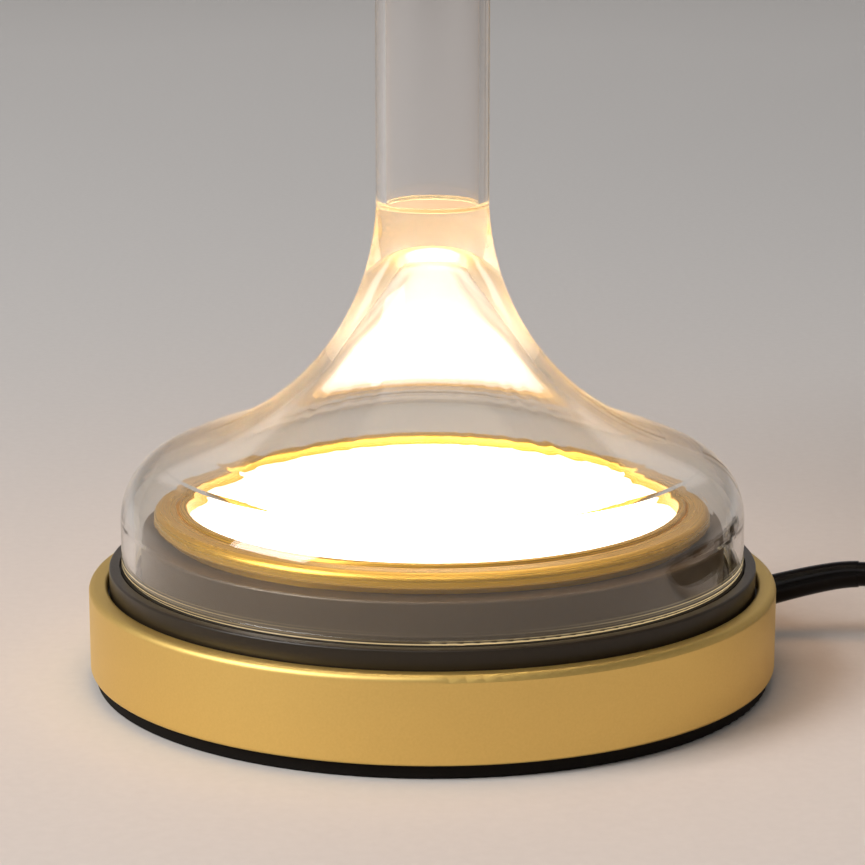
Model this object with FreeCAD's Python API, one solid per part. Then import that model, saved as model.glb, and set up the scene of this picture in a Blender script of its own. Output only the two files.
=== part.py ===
import FreeCAD
import Part
import math
import os

V = FreeCAD.Vector

# A table lamp. A round base holds a light that shines upwards into a blown glass bell.
# A clear tube rises from the bell's neck and carries a domed reflector.
# All sizes are in millimetres. The origin is on the lamp's axis at the underside of the foot pad,
# +Z is up and -Y is the side that the lamp is seen from.

# Clearances
FIT = 0.1  # between fixed pieces that nest
GAP = 0.3  # between pieces that only lie beside each other
RUN = 0.06  # radial play of a pin in its bore

# Base ring, foot pad and bottom plate
BASE_RADIUS = 75.0
BASE_HEIGHT = 21.5
BASE_WALL = 3.0
BASE_LIP = 1.0
BASE_LIP_DEPTH = 2.5
BASE_EDGE = 1.4
FOOT_THICK = 3.0
FOOT_INSET = 1.3
FOOT_EDGE = 0.6
PLATE_THICK = 1.6
PLATE_REBATE = 1.2

# Ballast
BALLAST_HEIGHT = 6.4
BALLAST_GAP = 6.0
BALLAST_HOLE = 34.0
BALLAST_SLOT = 25.0

# Seat ring for the glass
SEAT_RISE = 3.9
SEAT_GAP = 0.5
SEAT_DECK = 3.4
SEAT_SKIRT = 2.1
SEAT_FLANGE = 2.3
SEAT_EDGE = 0.5
SEAT_COLLAR = 2.2
SHELF_DROP = 9.4
SHELF_THICK = 2.5
SHELF_REACH = 9.5
GROOVE_DEPTH = 1.2
GROOVE_MARGIN = 0.5
BOSS_RADIUS = 4.0
BOSS_INSET = 12.0
BOSS_COUNT = 4

# Glass bell
GLASS_INSET = 2.7
GLASS_WALL = 2.8
GLASS_RIM = 1.1
SHOULDER_RISE = 10.2
SHOULDER_RADIUS = 14.8
SHOULDER_SLOPE = 24.0
CROWN_RADIUS = 80.0
CROWN_SLOPE = 17.7
NECK_RISE = 77.6
NECK_SOLID = 8.7
CAVITY_TIP = 9.0

# Glass tube and the ring that joins it to the bell
TUBE_RADIUS = 12.1
TUBE_WALL = 2.2
TUBE_LENGTH = 226.0
JOINT_RING = 0.8

# Light module
MODULE_GAP = 1.5
HOUSING_RISE = 8.1
HOUSING_WALL = 5.6
HOUSING_FOOT = 4.6
HOUSING_FLOOR = 3.5
HOUSING_BAY = 7.0
HOUSING_EDGE = 0.6
FIN_COUNT = 24
FIN_THICK = 1.6
FIN_HEIGHT = 5.6
FIN_START = 37.0
BEZEL_INSET = 3.2
BEZEL_RISE = 5.0
BEZEL_WIDTH = 7.4
BEZEL_SKIRT = 1.6
BEZEL_LIP = 2.8
BEZEL_GROOVE = 0.8
BEZEL_RIDGE = 1.6
BEZEL_STEP = 0.5
BEZEL_ROUND = 1.8
BEZEL_UNDERCUT = 1.7
DIFFUSER_SUNK = 2.2
DIFFUSER_THICK = 2.6
DIFFUSER_FLANGE = 1.5
BOARD_THICK = 1.6
CHIP_SIZE = 3.0
CHIP_HEIGHT = 0.8
CHIP_CIRCLES = (14.0, 29.0, 44.0)
CHIP_COUNTS = (6, 12, 18)

# Driver in the middle of the base
DRIVER_RADIUS = 31.5
DRIVER_WALL = 1.2
DRIVER_HEIGHT = 17.4
DRIVER_SPLIT = 8.4
DRIVER_STANDOFF = 2.4
TRANSFORMER = (16.0, 14.0, 9.6)
CAPACITOR_RADIUS = 4.0
CAPACITOR_HEIGHT = 9.0
CHOKE_RADIUS = 4.5
CHOKE_HEIGHT = 8.0
CHOKE_FLANGE = 1.0
TRANSFORMER_PLACE = (-12.0, 4.0)
CAPACITOR_PLACES = ((6.0, 15.0), (-4.0, 18.0), (8.0, -15.0))
CHOKE_PLACE = (-6.0, -14.0)
POST_RADIUS = 2.0
LEAD_HOLE = 3.6
GATE_WIDTH = 9.2
TERMINAL = (9.0, 12.0, 7.5)
LEAD_RADIUS = 0.8
MAINS_LEAD_RADIUS = 1.2

# Screws
SCREW_RADIUS = 1.5
SCREW_HEAD = 2.8
SCREW_HEAD_HEIGHT = 2.0
SCREW_LENGTH = 7.0
SCREW_SPARE = 1.0
HOUSING_SCREWS = 3
BOARD_SCREWS = 3
RECESS_WIDTH = 0.8

# Mains cord where it leaves the base
CORD_DIAMETER = 5.6
CORD_ANGLE = 18.7
CORD_HEIGHT = 9.2
GLAND_NECK = 3.9
GLAND_FLANGE = 5.4
GLAND_FLANGE_THICK = 1.2
GLAND_NOSE = 3.5
GLAND_REACH = 2.2
GLAND_RISE = 0.6
CLAMP_INSET = 13.0
CLAMP_WIDTH = 7.0
CLAMP_SPAN = 22.0
CLAMP_THICK = 2.2
CLAMP_HEIGHT = 8.2

# Reflector shade on the tube
SHADE_RADIUS = 120.0
SHADE_DEPTH = 58.0
SHADE_WALL = 1.2
SHADE_FLAT = 22.0
SHADE_BEAD = 1.6
CARRIER_DEPTH = 18.0
CARRIER_FLANGE = 15.5
CARRIER_FLANGE_THICK = 3.0
CARRIER_STUD = 4.0
SLEEVE_WALL = 1.4
WASHER_THICK = 0.8
FINIAL_RADIUS = 9.0
FINIAL_WAIST = 5.4
FINIAL_CROWN = 6.8
FINIAL_SKIRT = 3.6
FINIAL_HEIGHT = 12.0
STUD_REACH = 6.0

# In-line switch, its length along the cord. Places on the cord are in plan, from where its line
# leaves the base's wall.
SWITCH_LENGTH = 62.0
SWITCH_WIDTH = 26.0
SWITCH_HEIGHT = 17.6
SWITCH_END_WIDTH = 13.0
SWITCH_TAPER = 13.0
SWITCH_WALL = 1.8
SWITCH_ROUND = 4.0
SWITCH_EDGE = 1.6
ROCKER_LENGTH = 21.0
ROCKER_WIDTH = 12.0
ROCKER_TILT = 7.0
ROCKER_CROWN = 1.5
ROCKER_DISH = 6.0
ROCKER_SKIRT = 3.0
ROCKER_DEPTH = 7.0
ROCKER_KEEL = (3.0, 1.5, 2.0)
ROCKER_PIN = 1.25
ROCKER_PIN_DROP = 4.0
ROCKER_CHEEK = (7.0, 7.5)
SWITCH_END_SOLID = 7.2
SWITCH_POST = 2.2
SWITCH_SCREW_RADIUS = 1.05
SWITCH_SCREW_HEAD = 2.0
SWITCH_SCREW_SUNK = 1.2
SWITCH_SCREW_REACH = 4.5
GRIP_WIDTH = 2.4
GRIP_WALL = 1.5
GRIP_OFFSET = 1.8
LEAF_THICK = 0.5
LEAF_WIDTH = 6.0
LEAF_LIFT = 3.2
LEAF_FOOT = (-16.0, -10.0)
LEAF_SPAN = (-7.0, 6.0, 8.0)
LEAF_DROP = 0.6
CONTACT_BASE = (9.0, 10.0, 1.0)
CONTACT_TIP = (1.2, 7.0, 2.2)
CONTACT_CLAMP = (5.0, 12.0, 4.5)
SWITCH_PLACE = (183.0, 26.9)
SWITCH_HEADING = 90.0

# Coil of the spare cord: turns per layer, and the half turn that climbs between the layers
COIL_PLACE = (121.0, 87.9)
COIL_RADIUS = 41.6
COIL_PITCH = 6.3
COIL_LAYER_TURNS = 3.375
COIL_CLIMB_TURNS = 0.5
COIL_DIP = 1.6
COIL_START = 60.0
COIL_CLEAR = 1.3
TIE_ANGLE = 120.0
TIE_WIDTH = 8.0
TIE_THICK = 0.8
TIE_ROUND = 3.0
TIE_CLEAR = 0.5

# Plug with two round pins
PLUG_PLACE = (63.5, 11.9)
PLUG_HEADING = -95.0
PLUG_WIDTH = 35.3
PLUG_HEIGHT = 13.7
PLUG_LENGTH = 30.0
PLUG_WAIST = 13.5
PLUG_TAIL_WIDTH = 15.0
PLUG_TAIL_HEIGHT = 11.0
PLUG_ROUND = 4.0
PIN_RADIUS = 2.0
PIN_LENGTH = 19.0
PIN_SPACING = 18.6
PIN_ROOT = 8.0
PIN_CORE = 1.3
PIN_SLEEVE_RADIUS = 1.75
PIN_SLEEVE_LENGTH = 10.0
PIN_ROUND = 1.2
RELIEF_LENGTH = 22.0
RELIEF_RADIUS = 5.0
RELIEF_TIP = 3.7
RELIEF_RIBS = 4
RELIEF_GROOVE = 0.8

# Heights and radii that follow from the sizes above
WALL_INSIDE = BASE_RADIUS - BASE_WALL
LIP_RADIUS = WALL_INSIDE - BASE_LIP
BALLAST_RADIUS = WALL_INSIDE - BALLAST_GAP
BOSS_CIRCLE = WALL_INSIDE - BOSS_INSET
CLAMP_CIRCLE = WALL_INSIDE - CLAMP_INSET
GLAND_TIP_RADIUS = BASE_RADIUS + GLAND_REACH
PLATE_TOP = FOOT_THICK + PLATE_THICK
SEAT_TOP = BASE_HEIGHT + SEAT_RISE
SEAT_RADIUS = LIP_RADIUS - SEAT_GAP
SHELF_TOP = SEAT_TOP - SHELF_DROP
SHELF_UNDER = SHELF_TOP - SHELF_THICK
GLASS_RADIUS = SEAT_RADIUS - GLASS_INSET
GLASS_INSIDE = GLASS_RADIUS - GLASS_WALL
HOUSING_RADIUS = GLASS_INSIDE - MODULE_GAP
SHELF_RADIUS = HOUSING_RADIUS - SHELF_REACH
HOUSING_INSIDE = HOUSING_RADIUS - HOUSING_WALL
HOUSING_TOP = SEAT_TOP + HOUSING_RISE
BAY_FLOOR = HOUSING_TOP - HOUSING_BAY
FLOOR_UNDER = BAY_FLOOR - HOUSING_FLOOR
BEZEL_RADIUS = HOUSING_RADIUS - BEZEL_INSET
BEZEL_HOLE = BEZEL_RADIUS - BEZEL_WIDTH
BEZEL_TOP = HOUSING_TOP + BEZEL_RISE
SKIRT_RADIUS = HOUSING_INSIDE - FIT
SKIRT_INSIDE = SKIRT_RADIUS - BEZEL_SKIRT
LIP_UNDER = BEZEL_TOP - BEZEL_LIP
BOARD_TOP = BAY_FLOOR + BOARD_THICK
DIFFUSER_TOP = BEZEL_TOP - DIFFUSER_SUNK
NECK_TOP = SEAT_TOP + NECK_RISE
TUBE_BOTTOM = NECK_TOP + JOINT_RING
TUBE_TOP = TUBE_BOTTOM + TUBE_LENGTH
TUBE_BORE = TUBE_RADIUS - TUBE_WALL
CORD_RADIUS = CORD_DIAMETER / 2
CARRIER_TOP = TUBE_TOP + CARRIER_FLANGE_THICK
DRIVER_BOARD_TOP = PLATE_TOP + DRIVER_WALL + DRIVER_STANDOFF + BOARD_THICK
UP = V(0, 0, 1)


def unit(vector):
    return V(vector).normalize()


def polar(radius, angle, z=0.0):
    turn = math.radians(angle)
    return V(radius * math.cos(turn), radius * math.sin(turn), z)


def on_cord(x, y, z=0.0):
    """A place on the cord, so that the whole cord moves with the base's wall."""
    return polar(BASE_RADIUS, CORD_ANGLE, z) + V(x, y, 0)


def in_plan(a, b):
    return V(a, b, 0)


def in_section(a, b):
    return V(a, 0, b)


def line(start, end):
    return Part.LineSegment(start, end).toShape()


def arc_by_tangents(start, corner, end):
    """The arc from start to end whose tangents meet at the corner."""
    middle = (start + end) * 0.5
    half = (end - start).Length / 2
    rise = corner - middle
    bulge = half * math.tan(math.atan2(rise.Length, half) / 2)
    return Part.Arc(start, middle + unit(rise) * bulge, end).toShape()


def outline(corners, to_point):
    """A closed wire through the corners. A corner's third value is its rounding."""
    flat = [V(corner[0], corner[1], 0) for corner in corners]
    cuts = []
    for i, corner in enumerate(corners):
        back = unit(flat[i - 1] - flat[i])
        on = unit(flat[(i + 1) % len(flat)] - flat[i])
        radius = corner[2] if len(corner) > 2 else 0.0
        half = back.getAngle(on) / 2
        reach = radius / math.tan(half) if radius else 0.0
        cuts.append((flat[i] + back * reach, flat[i] + on * reach, bool(radius)))
    edges = []
    for i, (enter, leave, rounded) in enumerate(cuts):
        if rounded:
            edges.append(arc_by_tangents(*[to_point(p.x, p.y) for p in (enter, flat[i], leave)]))
        following = cuts[(i + 1) % len(cuts)][0]
        if (following - leave).Length > 1e-6:
            edges.append(line(*[to_point(p.x, p.y) for p in (leave, following)]))
    return Part.Wire(edges)


def turned(corners):
    """A solid turned about the lamp's axis from corners given as radius and height."""
    return Part.Face(outline(corners, in_section)).revolve(V(0, 0, 0), UP, 360)


def ring(inner, outer, bottom, top):
    return turned([(inner, bottom), (outer, bottom), (outer, top), (inner, top)])


def rod(radius, start, end):
    return Part.makeCylinder(radius, (end - start).Length, start, end - start)


def slab(corners, bottom, top):
    """A plate of the plan outline given by the corners."""
    face = Part.Face(outline(corners, in_plan))
    face.translate(V(0, 0, bottom))
    return face.extrude(V(0, 0, top - bottom))


def block(length, width, bottom, top, centre=(0.0, 0.0), round_off=0.0):
    x, y = length / 2, width / 2
    cx, cy = centre
    corners = [(cx - x, cy - y, round_off), (cx + x, cy - y, round_off)]
    corners += [(cx + x, cy + y, round_off), (cx - x, cy + y, round_off)]
    return slab(corners, bottom, top)


def spun(shape, angle):
    """The shape turned about the lamp's axis."""
    copy = shape.copy()
    copy.rotate(V(0, 0, 0), UP, angle)
    return copy


def around(shape, count, start=0.0):
    return [spun(shape, start + 360.0 * i / count) for i in range(count)]


def fused(shapes):
    return shapes[0].multiFuse(shapes[1:]).removeSplitter()


def laid(shape, centre, heading, height=0.0):
    """A shape made along +X at the origin, put down at its place and heading."""
    copy = spun(shape, heading)
    copy.translate(V(centre[0], centre[1], height))
    return copy


def screw(length=SCREW_LENGTH):
    """A pan-head screw that points up, its head's underside at the origin."""
    head = turned([(0, -SCREW_HEAD_HEIGHT), (SCREW_HEAD, -SCREW_HEAD_HEIGHT, 1.0), (SCREW_HEAD, 0), (0, 0)])
    shank = rod(SCREW_RADIUS, V(0, 0, 0), V(0, 0, length))
    arm = SCREW_HEAD
    recess = SCREW_HEAD_HEIGHT / 2
    cross = fused([
        block(arm, RECESS_WIDTH, -SCREW_HEAD_HEIGHT, -recess),
        block(RECESS_WIDTH, arm, -SCREW_HEAD_HEIGHT, -recess),
    ])
    return fused([head, shank]).cut(cross)


def turned_over(shape):
    """A screw made pointing up, turned to point down."""
    copy = shape.copy()
    copy.rotate(V(0, 0, 0), V(1, 0, 0), 180)
    return copy


# Base


def base_ring():
    rebate = WALL_INSIDE + PLATE_REBATE
    body = turned([
        (rebate, FOOT_THICK),
        (BASE_RADIUS, FOOT_THICK, BASE_EDGE / 2),
        (BASE_RADIUS, BASE_HEIGHT, BASE_EDGE),
        (LIP_RADIUS, BASE_HEIGHT, BASE_EDGE / 2),
        (LIP_RADIUS, BASE_HEIGHT - BASE_LIP_DEPTH),
        (WALL_INSIDE, BASE_HEIGHT - BASE_LIP_DEPTH),
        (WALL_INSIDE, PLATE_TOP),
        (rebate, PLATE_TOP),
    ])
    inside = V(WALL_INSIDE - BASE_WALL, 0, CORD_HEIGHT)
    outside = V(BASE_RADIUS + BASE_WALL, 0, CORD_HEIGHT)
    return body.cut(spun(rod(GLAND_NECK + FIT, inside, outside), CORD_ANGLE))


def foot_pad():
    radius = BASE_RADIUS - FOOT_INSET
    return turned([(0, 0), (radius, 0, FOOT_EDGE), (radius, FOOT_THICK), (0, FOOT_THICK)])


def boss_start():
    """The first boss stands midway between the cord and a quarter turn on."""
    return CORD_ANGLE + 180.0 / BOSS_COUNT


def bottom_plate():
    plate = ring(0, WALL_INSIDE + PLATE_REBATE - FIT, FOOT_THICK, PLATE_TOP)
    hole = Part.makeCone(
        SCREW_HEAD + FIT, SCREW_RADIUS + FIT, PLATE_THICK, V(BOSS_CIRCLE, 0, FOOT_THICK))
    return plate.cut(around(hole, BOSS_COUNT, boss_start()))


def bottom_plate_screws():
    head = Part.makeCone(SCREW_HEAD, SCREW_RADIUS, PLATE_THICK, V(BOSS_CIRCLE, 0, FOOT_THICK))
    root = V(BOSS_CIRCLE, 0, PLATE_TOP)
    shank = rod(SCREW_RADIUS, root, root + UP * SCREW_LENGTH)
    deep = FOOT_THICK + PLATE_THICK / 2
    arm = block(SCREW_HEAD, RECESS_WIDTH, FOOT_THICK, deep, (BOSS_CIRCLE, 0))
    cross = block(RECESS_WIDTH, SCREW_HEAD, FOOT_THICK, deep, (BOSS_CIRCLE, 0))
    one = fused([head, shank]).cut([arm, cross])
    return Part.makeCompound(around(one, BOSS_COUNT, boss_start()))


def ballast_ring():
    top = PLATE_TOP + BALLAST_HEIGHT
    body = ring(BALLAST_HOLE, BALLAST_RADIUS, PLATE_TOP, top)
    hole = rod(BOSS_RADIUS + GAP, V(BOSS_CIRCLE, 0, PLATE_TOP), V(BOSS_CIRCLE, 0, top))
    slot = block(BALLAST_RADIUS, BALLAST_SLOT, PLATE_TOP, top, ((BALLAST_HOLE + BALLAST_RADIUS) / 2, 0))
    return body.cut(around(hole, BOSS_COUNT, boss_start()) + [spun(slot, CORD_ANGLE)])


def glass_seat_ring():
    groove_in = GLASS_INSIDE - GROOVE_MARGIN
    groove_out = GLASS_RADIUS + GROOVE_MARGIN
    collar = HOUSING_RADIUS + GAP
    deck_under = SEAT_TOP - SEAT_DECK
    flange_top = BASE_HEIGHT - BASE_LIP_DEPTH - FIT
    flange_under = flange_top - SEAT_FLANGE
    body = turned([
        (SEAT_RADIUS, flange_top),
        (SEAT_RADIUS, SEAT_TOP, SEAT_EDGE),
        (groove_out, SEAT_TOP),
        (groove_out, SEAT_TOP - GROOVE_DEPTH),
        (groove_in, SEAT_TOP - GROOVE_DEPTH),
        (groove_in, SEAT_TOP),
        (collar, SEAT_TOP),
        (collar, SHELF_TOP),
        (SHELF_RADIUS, SHELF_TOP),
        (SHELF_RADIUS, SHELF_UNDER),
        (collar + SEAT_COLLAR, SHELF_UNDER),
        (collar + SEAT_COLLAR, deck_under),
        (SEAT_RADIUS - SEAT_SKIRT, deck_under),
        (SEAT_RADIUS - SEAT_SKIRT, flange_under),
        (WALL_INSIDE - GAP, flange_under),
        (WALL_INSIDE - GAP, flange_top),
    ])
    root = V(BOSS_CIRCLE, 0, PLATE_TOP)
    boss = rod(BOSS_RADIUS, root, V(BOSS_CIRCLE, 0, SHELF_UNDER))
    bore = rod(SCREW_RADIUS + FIT, root, root + UP * (SCREW_LENGTH + SCREW_SPARE))
    body = fused([body] + around(boss, BOSS_COUNT, boss_start()))
    hole = rod(SCREW_RADIUS + FIT, housing_screw_place(SHELF_UNDER), housing_screw_place(SHELF_TOP))
    bores = around(bore, BOSS_COUNT, boss_start())
    return body.cut(bores + around(hole, HOUSING_SCREWS, housing_screw_start()))


def housing_screw_start():
    return CORD_ANGLE + 90.0


def housing_screw_place(z):
    return V(HOUSING_RADIUS - HOUSING_FOOT / 2, 0, z)


def glass_gasket():
    side = GROOVE_MARGIN - GAP
    return ring(GLASS_INSIDE - side, GLASS_RADIUS + side, SEAT_TOP - GROOVE_DEPTH, SEAT_TOP)


# Light module


def led_housing():
    foot_inside = HOUSING_RADIUS - HOUSING_FOOT
    body = turned([
        (0, FLOOR_UNDER),
        (foot_inside, FLOOR_UNDER),
        (foot_inside, SHELF_TOP),
        (HOUSING_RADIUS, SHELF_TOP),
        (HOUSING_RADIUS, HOUSING_TOP, HOUSING_EDGE),
        (HOUSING_INSIDE, HOUSING_TOP),
        (HOUSING_INSIDE, BAY_FLOOR),
        (0, BAY_FLOOR),
    ])
    reach = foot_inside + HOUSING_FOOT / 4 - FIN_START
    fin = block(reach, FIN_THICK, FLOOR_UNDER - FIN_HEIGHT, FLOOR_UNDER, (FIN_START + reach / 2, 0))
    body = fused([body] + around(fin, FIN_COUNT, CORD_ANGLE))
    depth = SCREW_LENGTH - SHELF_THICK + SCREW_SPARE
    tapped = rod(SCREW_RADIUS + FIT, housing_screw_place(SHELF_TOP), housing_screw_place(SHELF_TOP + depth))
    wires = rod(LEAD_HOLE, V(0, 0, FLOOR_UNDER), V(0, 0, BAY_FLOOR))
    holes = around(tapped, HOUSING_SCREWS, housing_screw_start())
    return body.cut(holes + [wires] + board_screw_holes(FLOOR_UNDER, BAY_FLOOR))


def housing_screws():
    one = screw()
    one.translate(housing_screw_place(SHELF_UNDER))
    return Part.makeCompound(around(one, HOUSING_SCREWS, housing_screw_start()))


def board_screw_place(i, z):
    """A screw between the middle and outer circles of chips."""
    radius = (CHIP_CIRCLES[1] + CHIP_CIRCLES[2]) / 2
    return polar(radius, CORD_ANGLE + 360.0 * i / BOARD_SCREWS, z)


def board_screw_holes(bottom, top):
    places = [(board_screw_place(i, bottom), board_screw_place(i, top)) for i in range(BOARD_SCREWS)]
    return [rod(SCREW_RADIUS + FIT, low, high) for low, high in places]


def led_board():
    board = ring(0, SKIRT_RADIUS - FIT, BAY_FLOOR, BOARD_TOP)
    return board.cut(board_screw_holes(BAY_FLOOR, BOARD_TOP))


def led_board_screws():
    solids = []
    for i in range(BOARD_SCREWS):
        one = turned_over(screw(HOUSING_FLOOR + BOARD_THICK))
        one.translate(board_screw_place(i, BOARD_TOP))
        solids.append(one)
    return Part.makeCompound(solids)


def led_chips():
    solids = []
    for radius, count in zip(CHIP_CIRCLES, CHIP_COUNTS):
        chip = block(CHIP_SIZE, CHIP_SIZE, BOARD_TOP, BOARD_TOP + CHIP_HEIGHT, (radius, 0))
        solids += around(chip, count, CORD_ANGLE + 180.0 / count)
    return Part.makeCompound(solids)


def reflector_ring():
    """The white ring that carries the diffuser above the board's rim."""
    top = LIP_UNDER - FIT - DIFFUSER_FLANGE
    outside = SKIRT_INSIDE - FIT
    return turned([
        (outside - BEZEL_SKIRT, BOARD_TOP),
        (outside, BOARD_TOP),
        (outside, top),
        (BEZEL_HOLE - BEZEL_SKIRT, top),
        (BEZEL_HOLE - BEZEL_SKIRT, top - BEZEL_LIP),
    ])


def diffuser():
    flange_top = LIP_UNDER - FIT
    flange_under = flange_top - DIFFUSER_FLANGE
    under = DIFFUSER_TOP - DIFFUSER_THICK
    window = BEZEL_HOLE - GAP
    step = BEZEL_HOLE - BEZEL_SKIRT - GAP
    return turned([
        (0, under),
        (step, under),
        (step, flange_under),
        (SKIRT_INSIDE - FIT, flange_under),
        (SKIRT_INSIDE - FIT, flange_top),
        (window, flange_top),
        (window, DIFFUSER_TOP, HOUSING_EDGE),
        (0, DIFFUSER_TOP),
    ])


def bezel():
    """The bright ring: an undercut side, a rounded edge, a flat top and a fine ridge round the light."""
    foot = BEZEL_RADIUS - BEZEL_UNDERCUT
    side = HOUSING_TOP + BEZEL_UNDERCUT
    flat = BEZEL_TOP - BEZEL_STEP
    ridge = BEZEL_HOLE + BEZEL_RIDGE
    return turned([
        (SKIRT_RADIUS, BOARD_TOP + GAP),
        (SKIRT_RADIUS, HOUSING_TOP),
        (foot, HOUSING_TOP),
        (foot, side),
        (BEZEL_RADIUS, side),
        (BEZEL_RADIUS, flat, BEZEL_ROUND),
        (ridge + BEZEL_GROOVE, flat),
        (ridge + BEZEL_GROOVE / 2, flat - BEZEL_GROOVE / 2),
        (ridge, BEZEL_TOP, BEZEL_RIDGE / 4),
        (BEZEL_HOLE, BEZEL_TOP, BEZEL_RIDGE / 4),
        (BEZEL_HOLE, LIP_UNDER),
        (SKIRT_INSIDE, LIP_UNDER),
        (SKIRT_INSIDE, BOARD_TOP + GAP),
    ])


# Driver


def driver_case():
    inside = DRIVER_RADIUS - DRIVER_WALL
    floor = PLATE_TOP + DRIVER_WALL
    cup = turned([
        (0, PLATE_TOP),
        (DRIVER_RADIUS, PLATE_TOP),
        (DRIVER_RADIUS, PLATE_TOP + DRIVER_SPLIT),
        (inside, PLATE_TOP + DRIVER_SPLIT),
        (inside, floor),
        (0, floor),
    ])
    foot = V(inside - 2 * POST_RADIUS, 0, floor)
    post = rod(POST_RADIUS, foot, foot + UP * DRIVER_STANDOFF)
    gate = mains_gate(PLATE_TOP + DRIVER_WALL, PLATE_TOP + DRIVER_SPLIT)
    return fused([cup] + around(post, 4, boss_start())).cut(gate)


def mains_gate(bottom, top):
    """The notch in the driver's wall where the mains leads come in."""
    return spun(block(GATE_WIDTH, GATE_WIDTH, bottom, top, (DRIVER_RADIUS, 0)), CORD_ANGLE)


def driver_lid():
    inside = DRIVER_RADIUS - DRIVER_WALL
    top = PLATE_TOP + DRIVER_HEIGHT
    lid = turned([
        (0, top - DRIVER_WALL),
        (inside, top - DRIVER_WALL),
        (inside, PLATE_TOP + DRIVER_SPLIT),
        (DRIVER_RADIUS, PLATE_TOP + DRIVER_SPLIT),
        (DRIVER_RADIUS, top, DRIVER_WALL / 2),
        (0, top),
    ])
    wires = rod(LEAD_HOLE, V(0, 0, top - DRIVER_WALL), V(0, 0, top))
    return lid.cut(wires)


def driver_board():
    return ring(0, DRIVER_RADIUS - DRIVER_WALL - GAP, DRIVER_BOARD_TOP - BOARD_THICK, DRIVER_BOARD_TOP)


def driver_transformer():
    """Two ferrite halves round a wound bobbin."""
    length, width, height = TRANSFORMER
    z = DRIVER_BOARD_TOP
    core = block(length, width / 2, z + 1, z + height, (0, 0), 0.5)
    bobbin = block(length * 0.6, width, z, z + height - 1, (0, 0), 1.0)
    return laid(fused([core, bobbin]), TRANSFORMER_PLACE, CORD_ANGLE)


def driver_capacitors():
    solids = []
    for x, y in CAPACITOR_PLACES:
        foot = V(x, y, DRIVER_BOARD_TOP)
        can = rod(CAPACITOR_RADIUS, foot, foot + UP * CAPACITOR_HEIGHT)
        solids.append(can.makeFillet(0.5, [edge for edge in can.Edges if edge.Length > 2]))
    return Part.makeCompound(solids)


def driver_choke():
    """A drum core with its winding between two flanges."""
    z = DRIVER_BOARD_TOP
    waist = CHOKE_RADIUS - CHOKE_FLANGE
    top = z + CHOKE_HEIGHT
    drum = turned([
        (0, z),
        (CHOKE_RADIUS, z),
        (CHOKE_RADIUS, z + CHOKE_FLANGE),
        (waist, z + CHOKE_FLANGE),
        (waist, top - CHOKE_FLANGE),
        (CHOKE_RADIUS, top - CHOKE_FLANGE),
        (CHOKE_RADIUS, top),
        (0, top),
    ])
    return laid(drum, CHOKE_PLACE, 0)


def driver_terminal_block():
    length, width, height = TERMINAL
    z = DRIVER_BOARD_TOP
    body = block(length, width, z, z + height, (0, 0), 0.5)
    low = mains_lead_height()
    holes = []
    for side in (-2 * MAINS_LEAD_RADIUS, 2 * MAINS_LEAD_RADIUS):
        holes.append(rod(MAINS_LEAD_RADIUS + FIT, V(0, side, low), V(length, side, low)))
        holes.append(rod(SCREW_RADIUS, V(0, side, z + height - SCREW_HEAD_HEIGHT), V(0, side, z + height)))
    return laid(body.cut(holes), tuple(polar(terminal_circle(), CORD_ANGLE))[:2], CORD_ANGLE)


def terminal_circle():
    return DRIVER_RADIUS - DRIVER_WALL - TERMINAL[0]


def mains_lead_height():
    return DRIVER_BOARD_TOP + MAINS_LEAD_RADIUS + GAP


def led_leads():
    """The two leads from the driver's board up to the light board."""
    sides = (-1.5 * LEAD_RADIUS, 1.5 * LEAD_RADIUS)
    pair = [rod(LEAD_RADIUS, V(0, side, DRIVER_BOARD_TOP), V(0, side, BAY_FLOOR)) for side in sides]
    return Part.makeCompound(pair)


# Mains cord inside the base


def mains_leads():
    """The cord's two cores, from its cut end to the terminals."""
    side = 2 * MAINS_LEAD_RADIUS
    start = CLAMP_CIRCLE - CLAMP_WIDTH
    end = terminal_circle()
    solids = []
    for sign in (-1, 1):
        points = [
            V(start, sign * (MAINS_LEAD_RADIUS + FIT), CORD_HEIGHT),
            V(start - 5.0, sign * (MAINS_LEAD_RADIUS + FIT), CORD_HEIGHT),
            V(DRIVER_RADIUS + 4.0, sign * side, mains_lead_height()),
            V(end, sign * side, mains_lead_height()),
        ]
        solids.append(spun(tube_along(points, MAINS_LEAD_RADIUS)[0], CORD_ANGLE))
    return Part.makeCompound(solids)


def cord_inner():
    start = polar(CLAMP_CIRCLE - CLAMP_WIDTH, CORD_ANGLE, CORD_HEIGHT)
    return rod(CORD_RADIUS, start, polar(WALL_INSIDE - BASE_WALL, CORD_ANGLE, CORD_HEIGHT))


def cord_clamp():
    """A saddle over the cord, screwed down to the bottom plate on both sides."""
    body = block(CLAMP_WIDTH, CLAMP_SPAN, PLATE_TOP, PLATE_TOP + CLAMP_THICK, (0, 0), 1.0)
    hump = block(CLAMP_WIDTH, CORD_DIAMETER + 2 * CLAMP_THICK, PLATE_TOP, PLATE_TOP + CLAMP_HEIGHT, (0, 0))
    hump = hump.makeFillet(CLAMP_THICK, long_edges_at(hump, PLATE_TOP + CLAMP_HEIGHT, V(1, 0, 0)))
    channel = rod(CORD_RADIUS, V(-CLAMP_WIDTH, 0, CORD_HEIGHT), V(CLAMP_WIDTH, 0, CORD_HEIGHT))
    feet = [V(0, sign * clamp_screw_side(), PLATE_TOP) for sign in (-1, 1)]
    holes = [rod(SCREW_RADIUS + FIT, foot, foot + UP * CLAMP_THICK) for foot in feet]
    shape = fused([body, hump]).cut([channel] + holes)
    return laid(shape, tuple(polar(CLAMP_CIRCLE, CORD_ANGLE))[:2], CORD_ANGLE)


def clamp_screw_side():
    return CLAMP_SPAN / 2 - SCREW_HEAD - 0.4


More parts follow.
